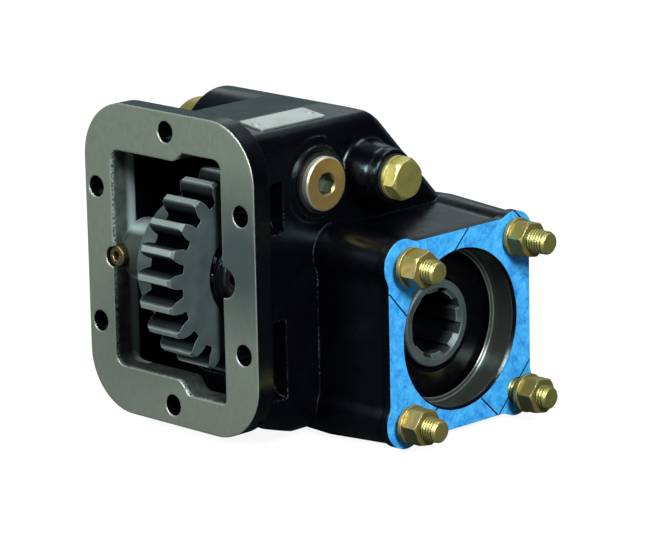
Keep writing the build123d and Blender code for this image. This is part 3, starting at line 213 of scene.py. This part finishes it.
class Shader(Nodes):
    """A material with a Principled shader."""

    def __init__(self, name, color, metallic=0.0, roughness=0.5, specular=0.5):
        self.material = bpy.data.materials.new(name)
        self.material.use_nodes = True
        super().__init__(self.material.node_tree)
        self.surface = self.tree.nodes["Principled BSDF"]
        self.set("Base Color", (*color, 1.0))
        self.set("Metallic", metallic)
        self.set("Roughness", roughness)
        self.set("Specular IOR Level", specular)
        self.place = self.node("ShaderNodeTexCoord").outputs["Object"]

    def set(self, socket, value):
        self.put(self.surface.inputs[socket], value)

    def noise(self, scale, detail, roughness=0.5, stretch=(1.0, 1.0, 1.0)):
        mapping = self.node("ShaderNodeMapping")
        self.put(mapping.inputs["Vector"], self.place)
        self.put(mapping.inputs["Scale"], stretch)
        made = self.node("ShaderNodeTexNoise")
        self.put(made.inputs["Vector"], mapping.outputs[0])
        self.put(made.inputs["Scale"], scale)
        self.put(made.inputs["Detail"], detail)
        self.put(made.inputs["Roughness"], roughness)
        return made.outputs["Fac"]

    def around(self, first, second, first_middle, second_middle):
        """Distance from a point in a plane of two axes."""
        one = self.math("SUBTRACT", first, first_middle)
        two = self.math("SUBTRACT", second, second_middle)
        squares = self.math("MULTIPLY_ADD", one, one, self.times(two, two))
        return self.math("SQRT", squares)

    def stroke(self, first, second, start, end, half_width):
        """1 on a thin straight line between two points in a plane of two axes."""
        run = (end[0] - start[0], end[1] - start[1])
        length = (run[0] ** 2 + run[1] ** 2) ** 0.5
        along = (run[0] / length, run[1] / length)
        one = self.math("SUBTRACT", first, start[0])
        two = self.math("SUBTRACT", second, start[1])
        place = self.math("MULTIPLY_ADD", one, along[0], self.times(two, along[1]))
        off = self.math("MULTIPLY_ADD", one, along[1], self.times(two, -along[0]))
        near = self.below(self.math("ABSOLUTE", off), half_width)
        return self.times(near, self.inside(place, 0.0, length))

    def edges(self, radius):
        """1 on edges and 0 on flats, and the normal with its edges rounded."""
        bevel = self.node("ShaderNodeBevel", samples=BEVEL_SAMPLES)
        self.put(bevel.inputs["Radius"], radius)
        normal = self.node("ShaderNodeNewGeometry").outputs["Normal"]
        rounded = bevel.outputs[0]
        return self.span(self.dot(rounded, normal), FLAT_COSINE, EDGE_COSINE), rounded

    def bump(self, height, strength, distance, normal=None):
        made = self.node("ShaderNodeBump")
        self.put(made.inputs["Strength"], strength)
        self.put(made.inputs["Distance"], distance)
        self.put(made.inputs["Height"], height)
        if normal is not None:
            self.put(made.inputs["Normal"], normal)
        self.set("Normal", made.outputs[0])


# Casting: where it is ground, bored or bare, and where painted highlights and painted shade go
FACE_Y = 0.0004
PILOT_RADIUS = 0.0402
PILOT_LEFT_X = 0.0868
PILOT_MOUTH_X = 0.1001
SEAL_BORE_RADIUS = 0.0385
SEAL_BORE_LEFT_X = 0.06
WINDOW_LEFT_X = -0.0417
WINDOW_RIGHT_X = 0.0392
WINDOW_BOTTOM_Z = -0.0632
WINDOW_TOP_Z = 0.0612
LIP_FULL_Y = 0.0152
LIP_END_Y = 0.0164
BOSS_RADIUS = 0.0165
BOSS_END_Y = 0.03
BAND_START_Y = 0.0095
BAND_FULL_Y = 0.0125
BAND_RIGHT_X = -0.03
STIPPLE_FULL_Y = 0.001
STIPPLE_END_Y = 0.003
GLINT_START_Y = 0.016
GLINT_END_Y = 0.06
GLINT_RIGHT_X = 0.075
SHADE_X = 0.052
SHADE_Z = 0.012
SHADE_CORE_RADIUS = 0.012
SHADE_RADIUS = 0.05
CASTING_BEVEL = 0.0014

# Casting: colours
PAINT_COLOR = (0.002, 0.0022, 0.003)
PAINT_DARK = (0.0008, 0.0008, 0.0016)
PAINT_LIGHT = (0.0018, 0.0018, 0.003)
PAINT_SHEEN = (0.7, 0.95, 1.0, 1.0)
# Pale glints on the cast edges: a painted highlight
GLINT_HIGHLIGHT_COLOR = (0.10, 0.12, 0.14)
GROUND_DARK = (0.265, 0.312, 0.256)
GROUND_LIGHT = (0.303, 0.352, 0.29)
# Painted shade on the ground face's right middle
GROUND_PAINTED_SHADE = (0.10, 0.135, 0.135)
GROUND_EDGE = (0.45, 0.5, 0.46)
# Painted shade inside the bored pilot
BORED_SHADE_COLOR = (0.10, 0.125, 0.11)
BARE_DARK = (0.05, 0.065, 0.06)
BARE_LIGHT = (0.11, 0.135, 0.125)
BOSS_COLOR = (0.055, 0.07, 0.058)
# Painted highlight on the rounded left side of the window lip
BAND_HIGHLIGHT_COLOR = (0.46, 0.58, 0.58)
BAND_HIGHLIGHT_SHARE = 0.85
STIPPLE_COLOR = (0.48, 0.60, 0.60)

# Casting: gloss of paint, of ground and bored metal and of the bare lip
PAINT_SPECULAR = 0.32
SEAL_BORE_SPECULAR = 0.06
MACHINED_METALLIC = 0.7
BARE_METALLIC = 0.5
PAINT_ROUGHNESS = (0.2, 0.3)
GROUND_ROUGHNESS = (0.36, 0.44)
BORED_ROUGHNESS = 0.2
BARE_ROUGHNESS = 0.42

# Casting: shares of the noises in the surface's height
PAINT_LUMPS = 0.8
PAINT_SKIN = 0.16
PAINT_EDGE_SKIN = 1.6
MACHINED_GRAIN = 0.03
BARE_SKIN = 0.5
BARE_LUMPS = 1.3


def casting_zones(shader, x, y, z):
    """Where the casting is bored, machined or bare, and where its idler boss is."""
    radial = shader.around(y, z, OUTPUT_Y, OUTPUT_Z)
    bored = shader.times(shader.below(radial, PILOT_RADIUS), shader.inside(x, PILOT_LEFT_X, PILOT_MOUTH_X))
    machined = shader.math("MAXIMUM", shader.below(y, FACE_Y), bored)
    seal_bore = shader.times(shader.below(radial, SEAL_BORE_RADIUS), shader.above(x, SEAL_BORE_LEFT_X))
    window_width = shader.inside(x, WINDOW_LEFT_X, WINDOW_RIGHT_X)
    window_height = shader.inside(z, WINDOW_BOTTOM_Z, WINDOW_TOP_Z)
    lip = shader.times(shader.above(y, FACE_Y), shader.span(y, LIP_END_Y, LIP_FULL_Y))
    boss = shader.below(shader.around(y, z, IDLER_Y, IDLER_Z), BOSS_RADIUS)
    bare_boss = shader.times(boss, shader.inside(y, FACE_Y, BOSS_END_Y))
    bare = shader.times(shader.times(window_width, window_height), shader.math("MAXIMUM", lip, bare_boss))
    return bored, machined, seal_bore, bare, boss


def painted_casting():
    """Gloss black paint over cast iron, with a ground face, a bored pilot and a bare window lip."""
    shader = Shader("painted_casting", PAINT_COLOR, roughness=0.2)
    shader.set("Specular Tint", PAINT_SHEEN)
    x, y, z = shader.axes(shader.place)
    bored, machined, seal_bore, bare, boss = casting_zones(shader, x, y, z)
    skin = shader.noise(scale=900.0, detail=4.0, roughness=0.6)
    lumps = shader.noise(scale=140.0, detail=3.0)
    waves = shader.noise(scale=38.0, detail=2.0)
    grain = shader.noise(scale=420.0, detail=4.0, roughness=0.7, stretch=(1.0, 1.0, 0.5))
    edge_mask, rounded = shader.edges(CASTING_BEVEL)

    # Paint, with painted highlights: pale glints in patches on the cast edges behind the flange
    paint = shader.mix(shader.span(lumps, low=0.3, high=0.75), PAINT_DARK, PAINT_LIGHT)
    painted_glints = shader.times(
        shader.span(skin, low=0.5, high=0.58),
        shader.inside(y, GLINT_START_Y, GLINT_END_Y),
        shader.span(waves, low=0.46, high=0.56, to_low=0.12),
        edge_mask,
        shader.below(x, GLINT_RIGHT_X),
    )
    paint = shader.mix(painted_glints, paint, GLINT_HIGHLIGHT_COLOR)

    # Ground face with a darker area at its right middle, which is painted shade, and the bored pilot
    ground = shader.mix(shader.clouds(grain), GROUND_DARK, GROUND_LIGHT)
    painted_shade = shader.span(shader.around(x, z, SHADE_X, SHADE_Z), SHADE_CORE_RADIUS, SHADE_RADIUS)
    ground = shader.mix(painted_shade, GROUND_PAINTED_SHADE, ground)
    # The bored pilot is darker: painted shade inside the bore
    ground = shader.mix(bored, ground, BORED_SHADE_COLOR)
    ground = shader.mix(shader.times(edge_mask, machined), ground, GROUND_EDGE)

    # Bare lip of the window: dark, with a painted highlight as a silver band at its left, and a stippled
    # outer edge
    lip = shader.mix(shader.span(lumps, low=0.35, high=0.65), BARE_DARK, BARE_LIGHT)
    lip = shader.mix(boss, lip, BOSS_COLOR)
    highlight_band = shader.times(shader.span(y, BAND_START_Y, BAND_FULL_Y), shader.below(x, BAND_RIGHT_X))
    lip = shader.mix(shader.times(highlight_band, BAND_HIGHLIGHT_SHARE), lip, BAND_HIGHLIGHT_COLOR)
    outer_edge = shader.span(y, STIPPLE_END_Y, STIPPLE_FULL_Y)
    stipple = shader.times(outer_edge, shader.span(skin, low=0.45, high=0.55))
    lip = shader.mix(stipple, lip, STIPPLE_COLOR)

    shader.set("Base Color", shader.mix(bare, shader.mix(machined, paint, ground), lip))
    shader.set("Specular IOR Level", shader.blend(seal_bore, PAINT_SPECULAR, SEAL_BORE_SPECULAR))
    shader.set("Metallic", shader.blend(bare, shader.times(machined, MACHINED_METALLIC), BARE_METALLIC))
    paint_roughness = shader.clouds(waves, *PAINT_ROUGHNESS)
    metal_roughness = shader.blend(bored, shader.clouds(grain, *GROUND_ROUGHNESS), BORED_ROUGHNESS)
    roughness = shader.blend(machined, paint_roughness, metal_roughness)
    shader.set("Roughness", shader.blend(bare, roughness, BARE_ROUGHNESS))
    stippled = shader.times(skin, shader.blend(edge_mask, PAINT_SKIN, PAINT_EDGE_SKIN))
    paint_height = shader.math("MULTIPLY_ADD", lumps, PAINT_LUMPS, stippled)
    machined_height = shader.times(grain, MACHINED_GRAIN)
    bare_height = shader.math("MULTIPLY_ADD", skin, BARE_SKIN, shader.times(lumps, BARE_LUMPS))
    height = shader.blend(bare, shader.blend(machined, paint_height, machined_height), bare_height)
    shader.bump(height, strength=0.35, distance=0.0006, normal=rounded)
    return shader.material


# Gears: places on the idler gear, and the depths between which painted shade darkens the splined bore
GEAR_LEFT_X = 0.0077
HUB_RADIUS = 0.036
ROOT_FULL_RADIUS = 0.045
ROOT_END_RADIUS = 0.0485
FLANK_FULL_RADIUS = 0.0492
FLANK_END_RADIUS = 0.0502
LAND_LOW_RADIUS = 0.0504
LAND_HIGH_RADIUS = 0.0511
SIDE_NORMAL = 0.4
SPLINE_RADIUS = 0.0184
SPLINE_SHADE_START = 0.0025
SPLINE_SHADE_FULL = 0.010
GEAR_BEVEL = 0.0005

# Gears: colours and gloss
GEAR_COLOR = (0.07, 0.1, 0.1)
GEAR_DARK = (0.06, 0.085, 0.086)
GEAR_LIGHT = (0.09, 0.122, 0.122)
GEAR_EDGE = (0.32, 0.4, 0.42)
# Painted shade on the flanks and roots between the teeth
FLANK_SHADE_COLOR = (0.006, 0.009, 0.01)
FLANK_SHADE_SHARE = 0.94
ROOT_SHADE_COLOR = (0.0006, 0.0008, 0.001)
# Painted highlight on the tooth tip lands
LAND_HIGHLIGHT_COLOR = (0.22, 0.27, 0.25)
# Painted shade deep in the splined bore
SPLINE_SHADE_COLOR = (0.014, 0.018, 0.022)
GEAR_METALLIC = 0.45
SPLINE_METALLIC = 0.9
GEAR_SPECULAR = 0.5
FLANK_SPECULAR = 0.06
GEAR_ROUGHNESS = (0.4, 0.5)
SPLINE_ROUGHNESS = 0.28


def gear_steel():
    """Case-hardened steel with paler edges, a painted highlight on the tooth tips, and painted shade
    between the teeth and deep in the spline.
    """
    shader = Shader("gear_steel", GEAR_COLOR, metallic=GEAR_METALLIC, roughness=0.42)
    x, y, z = shader.axes(shader.place)
    edge_mask, rounded = shader.edges(GEAR_BEVEL)
    cloud = shader.noise(scale=120.0, detail=4.0)
    lines = shader.noise(scale=900.0, detail=2.0, stretch=(0.08, 1.0, 1.0))
    normal_x = shader.axes(shader.node("ShaderNodeNewGeometry").outputs["Normal"])[0]
    side = shader.above(shader.math("ABSOLUTE", normal_x), SIDE_NORMAL)
    radial = shader.around(y, z, IDLER_Y, IDLER_Z)
    gap = shader.span(radial, FLANK_END_RADIUS, FLANK_FULL_RADIUS)
    gap = shader.times(gap, shader.above(radial, HUB_RADIUS))
    toothed = shader.times(shader.above(x, GEAR_LEFT_X), shader.math("SUBTRACT", 1.0, side))
    flank_shade = shader.times(gap, toothed)
    root_shade = shader.times(shader.span(radial, ROOT_END_RADIUS, ROOT_FULL_RADIUS), flank_shade)
    land_highlight = shader.times(shader.inside(radial, LAND_LOW_RADIUS, LAND_HIGH_RADIUS), toothed)
    bore = shader.below(shader.around(y, z, OUTPUT_Y, OUTPUT_Z), SPLINE_RADIUS)
    # Painted shade: the splined bore darkens deeper in
    painted_shade = shader.span(x, SLEEVE_END_X - SPLINE_SHADE_START, SLEEVE_END_X - SPLINE_SHADE_FULL)
    spline_shade = shader.times(bore, painted_shade)
    color = shader.mix(edge_mask, shader.mix(shader.clouds(cloud), GEAR_DARK, GEAR_LIGHT), GEAR_EDGE)
    # Painted shade on the flanks and roots between the teeth
    color = shader.mix(shader.times(flank_shade, FLANK_SHADE_SHARE), color, FLANK_SHADE_COLOR)
    color = shader.mix(root_shade, color, ROOT_SHADE_COLOR)
    # Painted highlight on the tooth tip lands
    color = shader.mix(shader.times(land_highlight, shader.math("SUBTRACT", 1.0, edge_mask)), color, LAND_HIGHLIGHT_COLOR)
    shader.set("Base Color", shader.mix(spline_shade, color, SPLINE_SHADE_COLOR))
    shader.set("Metallic", shader.blend(flank_shade, shader.blend(spline_shade, GEAR_METALLIC, SPLINE_METALLIC), 0.0))
    gap_specular = shader.blend(root_shade, FLANK_SPECULAR, 0.0)
    shader.set("Specular IOR Level", shader.blend(flank_shade, GEAR_SPECULAR, gap_specular))
    shader.set("Roughness", shader.blend(spline_shade, shader.clouds(cloud, *GEAR_ROUGHNESS), SPLINE_ROUGHNESS))
    shader.bump(lines, strength=0.12, distance=0.0002, normal=rounded)
    return shader.material


STEEL_BEVEL = 0.0003
STEEL_ROUGHNESS_SWING = 0.06


def turned_steel(name, dark, light, roughness):
    """Turned or ground steel with fine rings and rounded edges."""
    shader = Shader(name, light, metallic=1.0, roughness=roughness)
    rounded = shader.edges(STEEL_BEVEL)[1]
    cloud = shader.noise(scale=300.0, detail=3.0)
    lines = shader.noise(scale=1500.0, detail=2.0, stretch=(1.0, 0.1, 0.1))
    shader.set("Base Color", shader.mix(shader.clouds(cloud), dark, light))
    swing = STEEL_ROUGHNESS_SWING
    shader.set("Roughness", shader.clouds(lines, roughness - swing, roughness + swing))
    shader.bump(lines, strength=0.1, distance=0.0001, normal=rounded)
    return shader.material


# Yellow zinc: colours beside those of each piece, among them painted shade for undersides, thread grooves
# and sockets, and their shares
ZINC_GREEN = (0.26, 0.32, 0.12)
ZINC_EDGE = (0.80, 0.78, 0.56)
ZINC_UNDERSIDE_SHADE = (0.02, 0.04, 0.03)
SOCKET_SHADE_COLOR = (0.10, 0.13, 0.09)
ZINC_RIM = (0.72, 0.72, 0.58)
THREAD_GROOVE_SHADE = (0.03, 0.035, 0.012)
TINT_SHARE = 0.5
GREEN_SHARE = 0.45
UNDERSIDE_SHADE_SHARE = 0.8
GROOVE_SHADE_SHARE = 0.85
ZINC_BEVEL = 0.0004
ZINC_ROUGHNESS = (0.34, 0.46)

# Yellow zinc: where painted shade goes on an underside, in a thread's groove and in a socket, and where a
# rim is
UNDERSIDE_START_NORMAL = -0.15
UNDERSIDE_FULL_NORMAL = -0.4
GROOVE_START_RADIUS = 0.0058
GROOVE_FULL_RADIUS = 0.0052
SOCKET_RADIUS = 0.0059
SOCKET_SHADE_DEPTH = 0.0012
RIM_RADIUS = 0.0129


def yellow_zinc(name, dark, light, tint, shade_underside=False, thread=None, socket=None):
    """Yellow passivated zinc: olive and gold, with faint clouds of a second colour.

    Shaded pieces get painted shade underneath, and a thread gets painted shade in its grooves.
    A plug with a socket gets painted shade inside it and is pale at its rim.
    """
    shader = Shader(name, dark, metallic=0.8, roughness=0.32)
    x, y, z = shader.axes(shader.place)
    edge_mask, rounded = shader.edges(ZINC_BEVEL)
    broad = shader.noise(scale=70.0, detail=3.0)
    small = shader.noise(scale=320.0, detail=3.0)
    color = shader.mix(shader.span(broad, low=0.38, high=0.62), dark, light)
    color = shader.mix(shader.span(small, low=0.5, high=0.72, to_high=TINT_SHARE), color, tint)
    color = shader.mix(shader.span(small, low=0.5, high=0.3, to_high=GREEN_SHARE), color, ZINC_GREEN)
    color = shader.mix(edge_mask, color, ZINC_EDGE)
    if shade_underside:
        # Painted shade on downward-facing sides
        normal_z = shader.axes(shader.node("ShaderNodeNewGeometry").outputs["True Normal"])[2]
        underside_shade = shader.span(normal_z, UNDERSIDE_START_NORMAL, UNDERSIDE_FULL_NORMAL)
        color = shader.mix(shader.times(underside_shade, UNDERSIDE_SHADE_SHARE), color, ZINC_UNDERSIDE_SHADE)
    if thread:
        stud_y, stud_z, thread_end_x = thread
        radial = shader.around(y, z, stud_y, stud_z)
        # Painted shade in the thread's grooves
        groove_shade = shader.span(radial, GROOVE_START_RADIUS, GROOVE_FULL_RADIUS)
        groove_shade = shader.times(groove_shade, shader.below(x, thread_end_x), GROOVE_SHADE_SHARE)
        color = shader.mix(groove_shade, color, THREAD_GROOVE_SHADE)
    if socket:
        middle_y, middle_z, face_x = socket
        radial = shader.around(y, z, middle_y, middle_z)
        # Painted shade inside the socket, darker deeper in
        depth = shader.span(x, face_x, face_x - SOCKET_SHADE_DEPTH)
        color = shader.mix(shader.times(shader.below(radial, SOCKET_RADIUS), depth), color, SOCKET_SHADE_COLOR)
        color = shader.mix(shader.above(radial, RIM_RADIUS), color, ZINC_RIM)
    shader.set("Base Color", color)
    shader.set("Roughness", shader.clouds(small, *ZINC_ROUGHNESS))
    shader.bump(small, strength=0.12, distance=0.0003, normal=rounded)
    return shader.material


# Gasket: colours, and the ends of its thin lines, across and up from the output axis
GASKET_COLOR = (0.05, 0.38, 0.9)
GASKET_DARK = (0.012, 0.22, 0.66)
GASKET_LIGHT = (0.055, 0.43, 0.88)
GASKET_PALE = (0.15, 0.60, 0.94)
GASKET_PALE_SHARE = 0.35
GASKET_ROUGHNESS = (0.6, 0.8)
LINE_COLOR = (0.004, 0.01, 0.03)
LINE_HALF_WIDTH = 0.00045
GASKET_LINES = [
    ((0.0390, 0.0540), (0.0444, 0.0490)),
    ((0.0062, 0.0508), (-0.0041, 0.0405)),
    ((-0.0506, 0.0275), (-0.0380, 0.0135)),
    ((0.0510, -0.0250), (0.0265, -0.0507)),
    ((0.0140, -0.0388), (0.0265, -0.0507)),
    ((-0.0164, -0.0366), (-0.0194, -0.0380)),
]


def gasket_fibre():
    """Mottled sky blue fibre sheet with thin dark lines."""
    shader = Shader("gasket_fibre", GASKET_COLOR, roughness=0.7, specular=0.2)
    x, y, z = shader.axes(shader.place)
    cloud = shader.noise(scale=190.0, detail=4.0, roughness=0.65)
    fine = shader.noise(scale=700.0, detail=2.0)
    blue = shader.mix(shader.span(cloud, low=0.36, high=0.64), GASKET_DARK, GASKET_LIGHT)
    blue = shader.mix(shader.span(fine, low=0.45, high=0.7, to_high=GASKET_PALE_SHARE), blue, GASKET_PALE)
    across = shader.math("SUBTRACT", y, OUTPUT_Y)
    up = shader.math("SUBTRACT", z, OUTPUT_Z)
    lines = 0.0
    for start, end in GASKET_LINES:
        lines = shader.math("MAXIMUM", lines, shader.stroke(across, up, start, end, LINE_HALF_WIDTH))
    shader.set("Base Color", shader.mix(lines, blue, LINE_COLOR))
    shader.set("Roughness", shader.clouds(cloud, *GASKET_ROUGHNESS))
    shader.bump(fine, strength=0.15, distance=0.0002)
    return shader.material


BLOOM = 2.2
RUBBER_SMOOTHER = 0.06
RUBBER_ROUGHER = 0.08


def rubber(name, color, roughness):
    """Moulded black rubber with a faint bloom."""
    shader = Shader(name, color, roughness=roughness, specular=0.2)
    cloud = shader.noise(scale=240.0, detail=3.0)
    paler = tuple(tone * BLOOM for tone in color)
    shader.set("Base Color", shader.mix(shader.span(cloud, low=0.35, high=0.75), color, paler))
    shader.set("Roughness", shader.clouds(cloud, roughness - RUBBER_SMOOTHER, roughness + RUBBER_ROUGHER))
    shader.bump(cloud, strength=0.05, distance=0.0002)
    return shader.material


PLATE_COLOR = (0.55, 0.62, 0.59)
PLATE_DARK = (0.35, 0.41, 0.385)
PLATE_LIGHT = (0.44, 0.50, 0.475)
PLATE_ROUGHNESS = (0.34, 0.5)


def plate_aluminium():
    """Bare aluminium sheet, brushed along its length."""
    shader = Shader("plate_aluminium", PLATE_COLOR, metallic=0.6, roughness=0.4)
    brush = shader.noise(scale=900.0, detail=3.0, stretch=(1.0, 0.05, 1.0))
    cloud = shader.noise(scale=90.0, detail=3.0)
    shader.set("Base Color", shader.mix(shader.clouds(cloud), PLATE_DARK, PLATE_LIGHT))
    shader.set("Roughness", shader.clouds(brush, *PLATE_ROUGHNESS))
    shader.bump(brush, strength=0.1, distance=0.0001)
    return shader.material


MATERIALS = {
    "painted_casting": painted_casting(),
    "gear_steel": gear_steel(),
    "machined_steel": turned_steel(
        "machined_steel", dark=(0.34, 0.35, 0.35), light=(0.46, 0.47, 0.46), roughness=0.34
    ),
    "bearing_steel": turned_steel(
        "bearing_steel", dark=(0.12, 0.15, 0.17), light=(0.2, 0.24, 0.26), roughness=0.24
    ),
    "dark_steel": turned_steel(
        "dark_steel", dark=(0.05, 0.05, 0.05), light=(0.1, 0.1, 0.1), roughness=0.38
    ),
    "yellow_zinc": yellow_zinc(
        "yellow_zinc",
        dark=(0.30, 0.27, 0.07),
        light=(0.42, 0.34, 0.11),
        tint=(0.40, 0.24, 0.11),
        shade_underside=True,
    ),
    "soft_washer": rubber("soft_washer", color=(0.008, 0.008, 0.009), roughness=0.45),
    "seal_rubber": rubber("seal_rubber", color=(0.0008, 0.0008, 0.0014), roughness=0.18),
    "gasket_fibre": gasket_fibre(),
    "plate_aluminium": plate_aluminium(),
}

# Single pieces whose plating has a colour of its own
NODE_MATERIALS = {
    "socket_plug": yellow_zinc(
        "copper_zinc",
        dark=(0.48, 0.31, 0.10),
        light=(0.54, 0.36, 0.13),
        tint=(0.40, 0.33, 0.1),
        socket=(PLUG_Y, PLUG_Z, PLUG_FACE_X),
    ),
    "hex_plug": yellow_zinc(
        "olive_zinc", dark=(0.46, 0.44, 0.12), light=(0.54, 0.5, 0.15), tint=(0.42, 0.34, 0.1)
    ),
    "left_lock_screw": yellow_zinc(
        "dull_zinc", dark=(0.10, 0.08, 0.03), light=(0.15, 0.11, 0.04), tint=(0.16, 0.1, 0.05)
    ),
}
SLOTS = {part["node"]: part["material_slot"] for part in frame["record"]["subparts"]}

for node_name, node in nodes.items():
    node.data.materials.clear()
    node.data.materials.append(NODE_MATERIALS.get(node_name, MATERIALS[SLOTS[node_name]]))

# Threads of the studs, with the rings of points in each turn and the points in each ring
THREAD_RADIUS = 0.006
THREAD_PITCH = 0.00175
THREAD_DEPTH = 0.0009
THREAD_LENGTH = 0.026
THREAD_RUN_IN = 0.0002
THREAD_STEPS = 8
THREAD_SIDES = 48
THREAD_SLOPE = 1.25
THREAD_CREST = 0.125
TIP_CHAMFER = 0.0013

# Plating of the studs, with a second colour of its own on one of them
STUD_DARK = (0.32, 0.30, 0.08)
STUD_LIGHT = (0.44, 0.40, 0.12)
STUD_TINT = (0.40, 0.36, 0.11)
STUD_TINTS = {"lower_left_stud": (0.75, 0.22, 0.14)}


def thread_radius(distance, angle, tip_distance):
    """Radius of a right-handed thread, and of the chamfer at its tip."""
    phase = (distance / THREAD_PITCH - angle / (2 * pi)) % 1.0
    flank_shade = abs(2 * phase - 1)
    cut = min(1.0, max(0.0, THREAD_SLOPE * flank_shade - THREAD_CREST))
    chamfer = THREAD_RADIUS - TIP_CHAMFER + tip_distance
    return min(THREAD_RADIUS - THREAD_DEPTH * cut, chamfer)


def thread_mesh(name, low, high):
    """A rod between two corners of its box, plain at its left and threaded over its last length."""
    middle_y = (low.y + high.y) / 2
    middle_z = (low.z + high.z) / 2
    plain_end = high.x - THREAD_LENGTH
    count = round(THREAD_LENGTH / THREAD_PITCH * THREAD_STEPS)
    plain_places = [low.x, plain_end - THREAD_RUN_IN]
    places = plain_places + [plain_end + THREAD_LENGTH * step / count for step in range(count + 1)]
    mesh = bmesh.new()
    rings = []
    for index, x in enumerate(places):
        ring = []
        for side in range(THREAD_SIDES):
            angle = 2 * pi * side / THREAD_SIDES
            radius = THREAD_RADIUS
            if index >= len(plain_places):
                radius = thread_radius(x - plain_end, angle, high.x - x)
            point = (x, middle_y + radius * cos(angle), middle_z + radius * sin(angle))
            ring.append(mesh.verts.new(point))
        rings.append(ring)
    for first, second in zip(rings, rings[1:]):
        for side in range(THREAD_SIDES):
            after = (side + 1) % THREAD_SIDES
            mesh.faces.new((first[side], first[after], second[after], second[side]))
    mesh.faces.new(rings[0][::-1])
    mesh.faces.new(rings[-1])
    bmesh.ops.recalc_face_normals(mesh, faces=mesh.faces)
    data = bpy.data.meshes.new(name)
    mesh.to_mesh(data)
    mesh.free()
    return data


def threaded_stud(node_name):
    low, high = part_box(node_name)
    data = thread_mesh(node_name + "_thread", low, high)
    stud = bpy.data.objects.new(node_name + "_thread", data)
    bpy.context.scene.collection.objects.link(stud)
    metal = yellow_zinc(
        node_name + "_zinc",
        dark=STUD_DARK,
        light=STUD_LIGHT,
        tint=STUD_TINTS.get(node_name, STUD_TINT),
        thread=((low.y + high.y) / 2, (low.z + high.z) / 2, high.x - TIP_CHAMFER),
    )
    stud.data.materials.append(metal)
    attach(stud, "housing")
    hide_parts(node_name)


for corner in ("upper_left", "upper_right", "lower_left", "lower_right"):
    threaded_stud(corner + "_stud")

# Floor and world: white to the camera, with a pale wall on one side for mirrored rays
FLOOR_SIZE = 40.0
FLOOR_COLOR = (0.16, 0.16, 0.16)
MIRRORED_FLOOR_COLOR = (0.03, 0.045, 0.045)
FLOOR_GLOW = 0.92
BACKDROP_DIRECTION = (-0.7, 0.7, 0.1)
BACKDROP_EDGE = 0.35
BACKDROP_FULL = 0.75
BACKDROP_LEVEL = 0.21
BACKDROP_TINT = (0.62, 0.97, 1.0)
WHITE = (1.0, 1.0, 1.0)
WORLD_LEVEL = 0.02


def backdrop(tree_nodes, direction):
    """Brightness of the wall for mirrored rays, and 1 for rays straight from the camera."""
    facing = tree_nodes.dot(direction, BACKDROP_DIRECTION)
    wall = tree_nodes.span(facing, BACKDROP_EDGE, BACKDROP_FULL, to_high=BACKDROP_LEVEL)
    path = tree_nodes.node("ShaderNodeLightPath").outputs
    mirrored = tree_nodes.math("MAXIMUM", path["Is Glossy Ray"], path["Is Transmission Ray"])
    return tree_nodes.times(wall, mirrored), path["Is Camera Ray"]


def add_floor():
    data = bpy.data.meshes.new("floor")
    half = FLOOR_SIZE / 2
    corners = [(-half, -half), (half, -half), (half, half), (-half, half)]
    data.from_pydata([(x, y, cad_low.z) for x, y in corners], [], [(0, 1, 2, 3)])
    floor = bpy.data.objects.new("floor", data)
    bpy.context.scene.collection.objects.link(floor)
    shader = Shader("floor", FLOOR_COLOR, roughness=0.9, specular=0.0)
    way = shader.node("ShaderNodeVectorMath", operation="NORMALIZE")
    shader.put(way.inputs[0], shader.place)
    wall, seen = backdrop(shader, way.outputs[0])
    glossy = shader.node("ShaderNodeLightPath").outputs["Is Glossy Ray"]
    shader.set("Base Color", shader.mix(glossy, FLOOR_COLOR, MIRRORED_FLOOR_COLOR))
    shader.set("Emission Color", shader.mix(seen, BACKDROP_TINT, WHITE))
    shader.set("Emission Strength", shader.math("MULTIPLY_ADD", seen, FLOOR_GLOW, wall))
    floor.data.materials.append(shader.material)


def add_world():
    world = bpy.data.worlds.new("studio")
    world.use_nodes = True
    bpy.context.scene.world = world
    studio = Nodes(world.node_tree)
    background = studio.tree.nodes["Background"].inputs
    way = studio.node("ShaderNodeTexCoord").outputs["Generated"]
    wall, seen = backdrop(studio, way)
    level = studio.math("MAXIMUM", studio.math("ADD", wall, WORLD_LEVEL), seen)
    studio.put(background["Strength"], level)
    studio.put(background["Color"], studio.mix(seen, BACKDROP_TINT, WHITE))


# Lamps: name, place, point aimed at, width and height, and power in watts
LAMPS = [
    ("front_lamp", (-0.25, -1.7, 0.85), (0.0, 0.0, 0.0), (0.6, 0.6), 41.0),
    ("side_lamp", (1.45, -0.5, 0.9), (0.1, 0.1, -0.03), (0.5, 0.5), 40.0),
    ("top_lamp", (0.0, 0.5, 1.4), (0.03, 0.06, 0.0), (0.8, 0.8), 10.0),
    ("rear_lamp", (-1.2, 1.5, 1.15), (0.05, 0.08, 0.0), (1.2, 0.7), 2.6),
]


def add_lamp(name, place, target, size, power):
    data = bpy.data.lights.new(name, "AREA")
    data.shape = "RECTANGLE"
    data.size, data.size_y = size
    data.energy = power
    lamp = bpy.data.objects.new(name, data)
    lamp.location = place
    aim = Vector(target) - Vector(place)
    lamp.rotation_euler = aim.to_track_quat("-Z", "Y").to_euler()
    bpy.context.scene.collection.objects.link(lamp)


add_camera()
add_floor()
add_world()
for lamp_facts in LAMPS:
    add_lamp(*lamp_facts)
bpy.context.scene.view_settings.view_transform = "Standard"
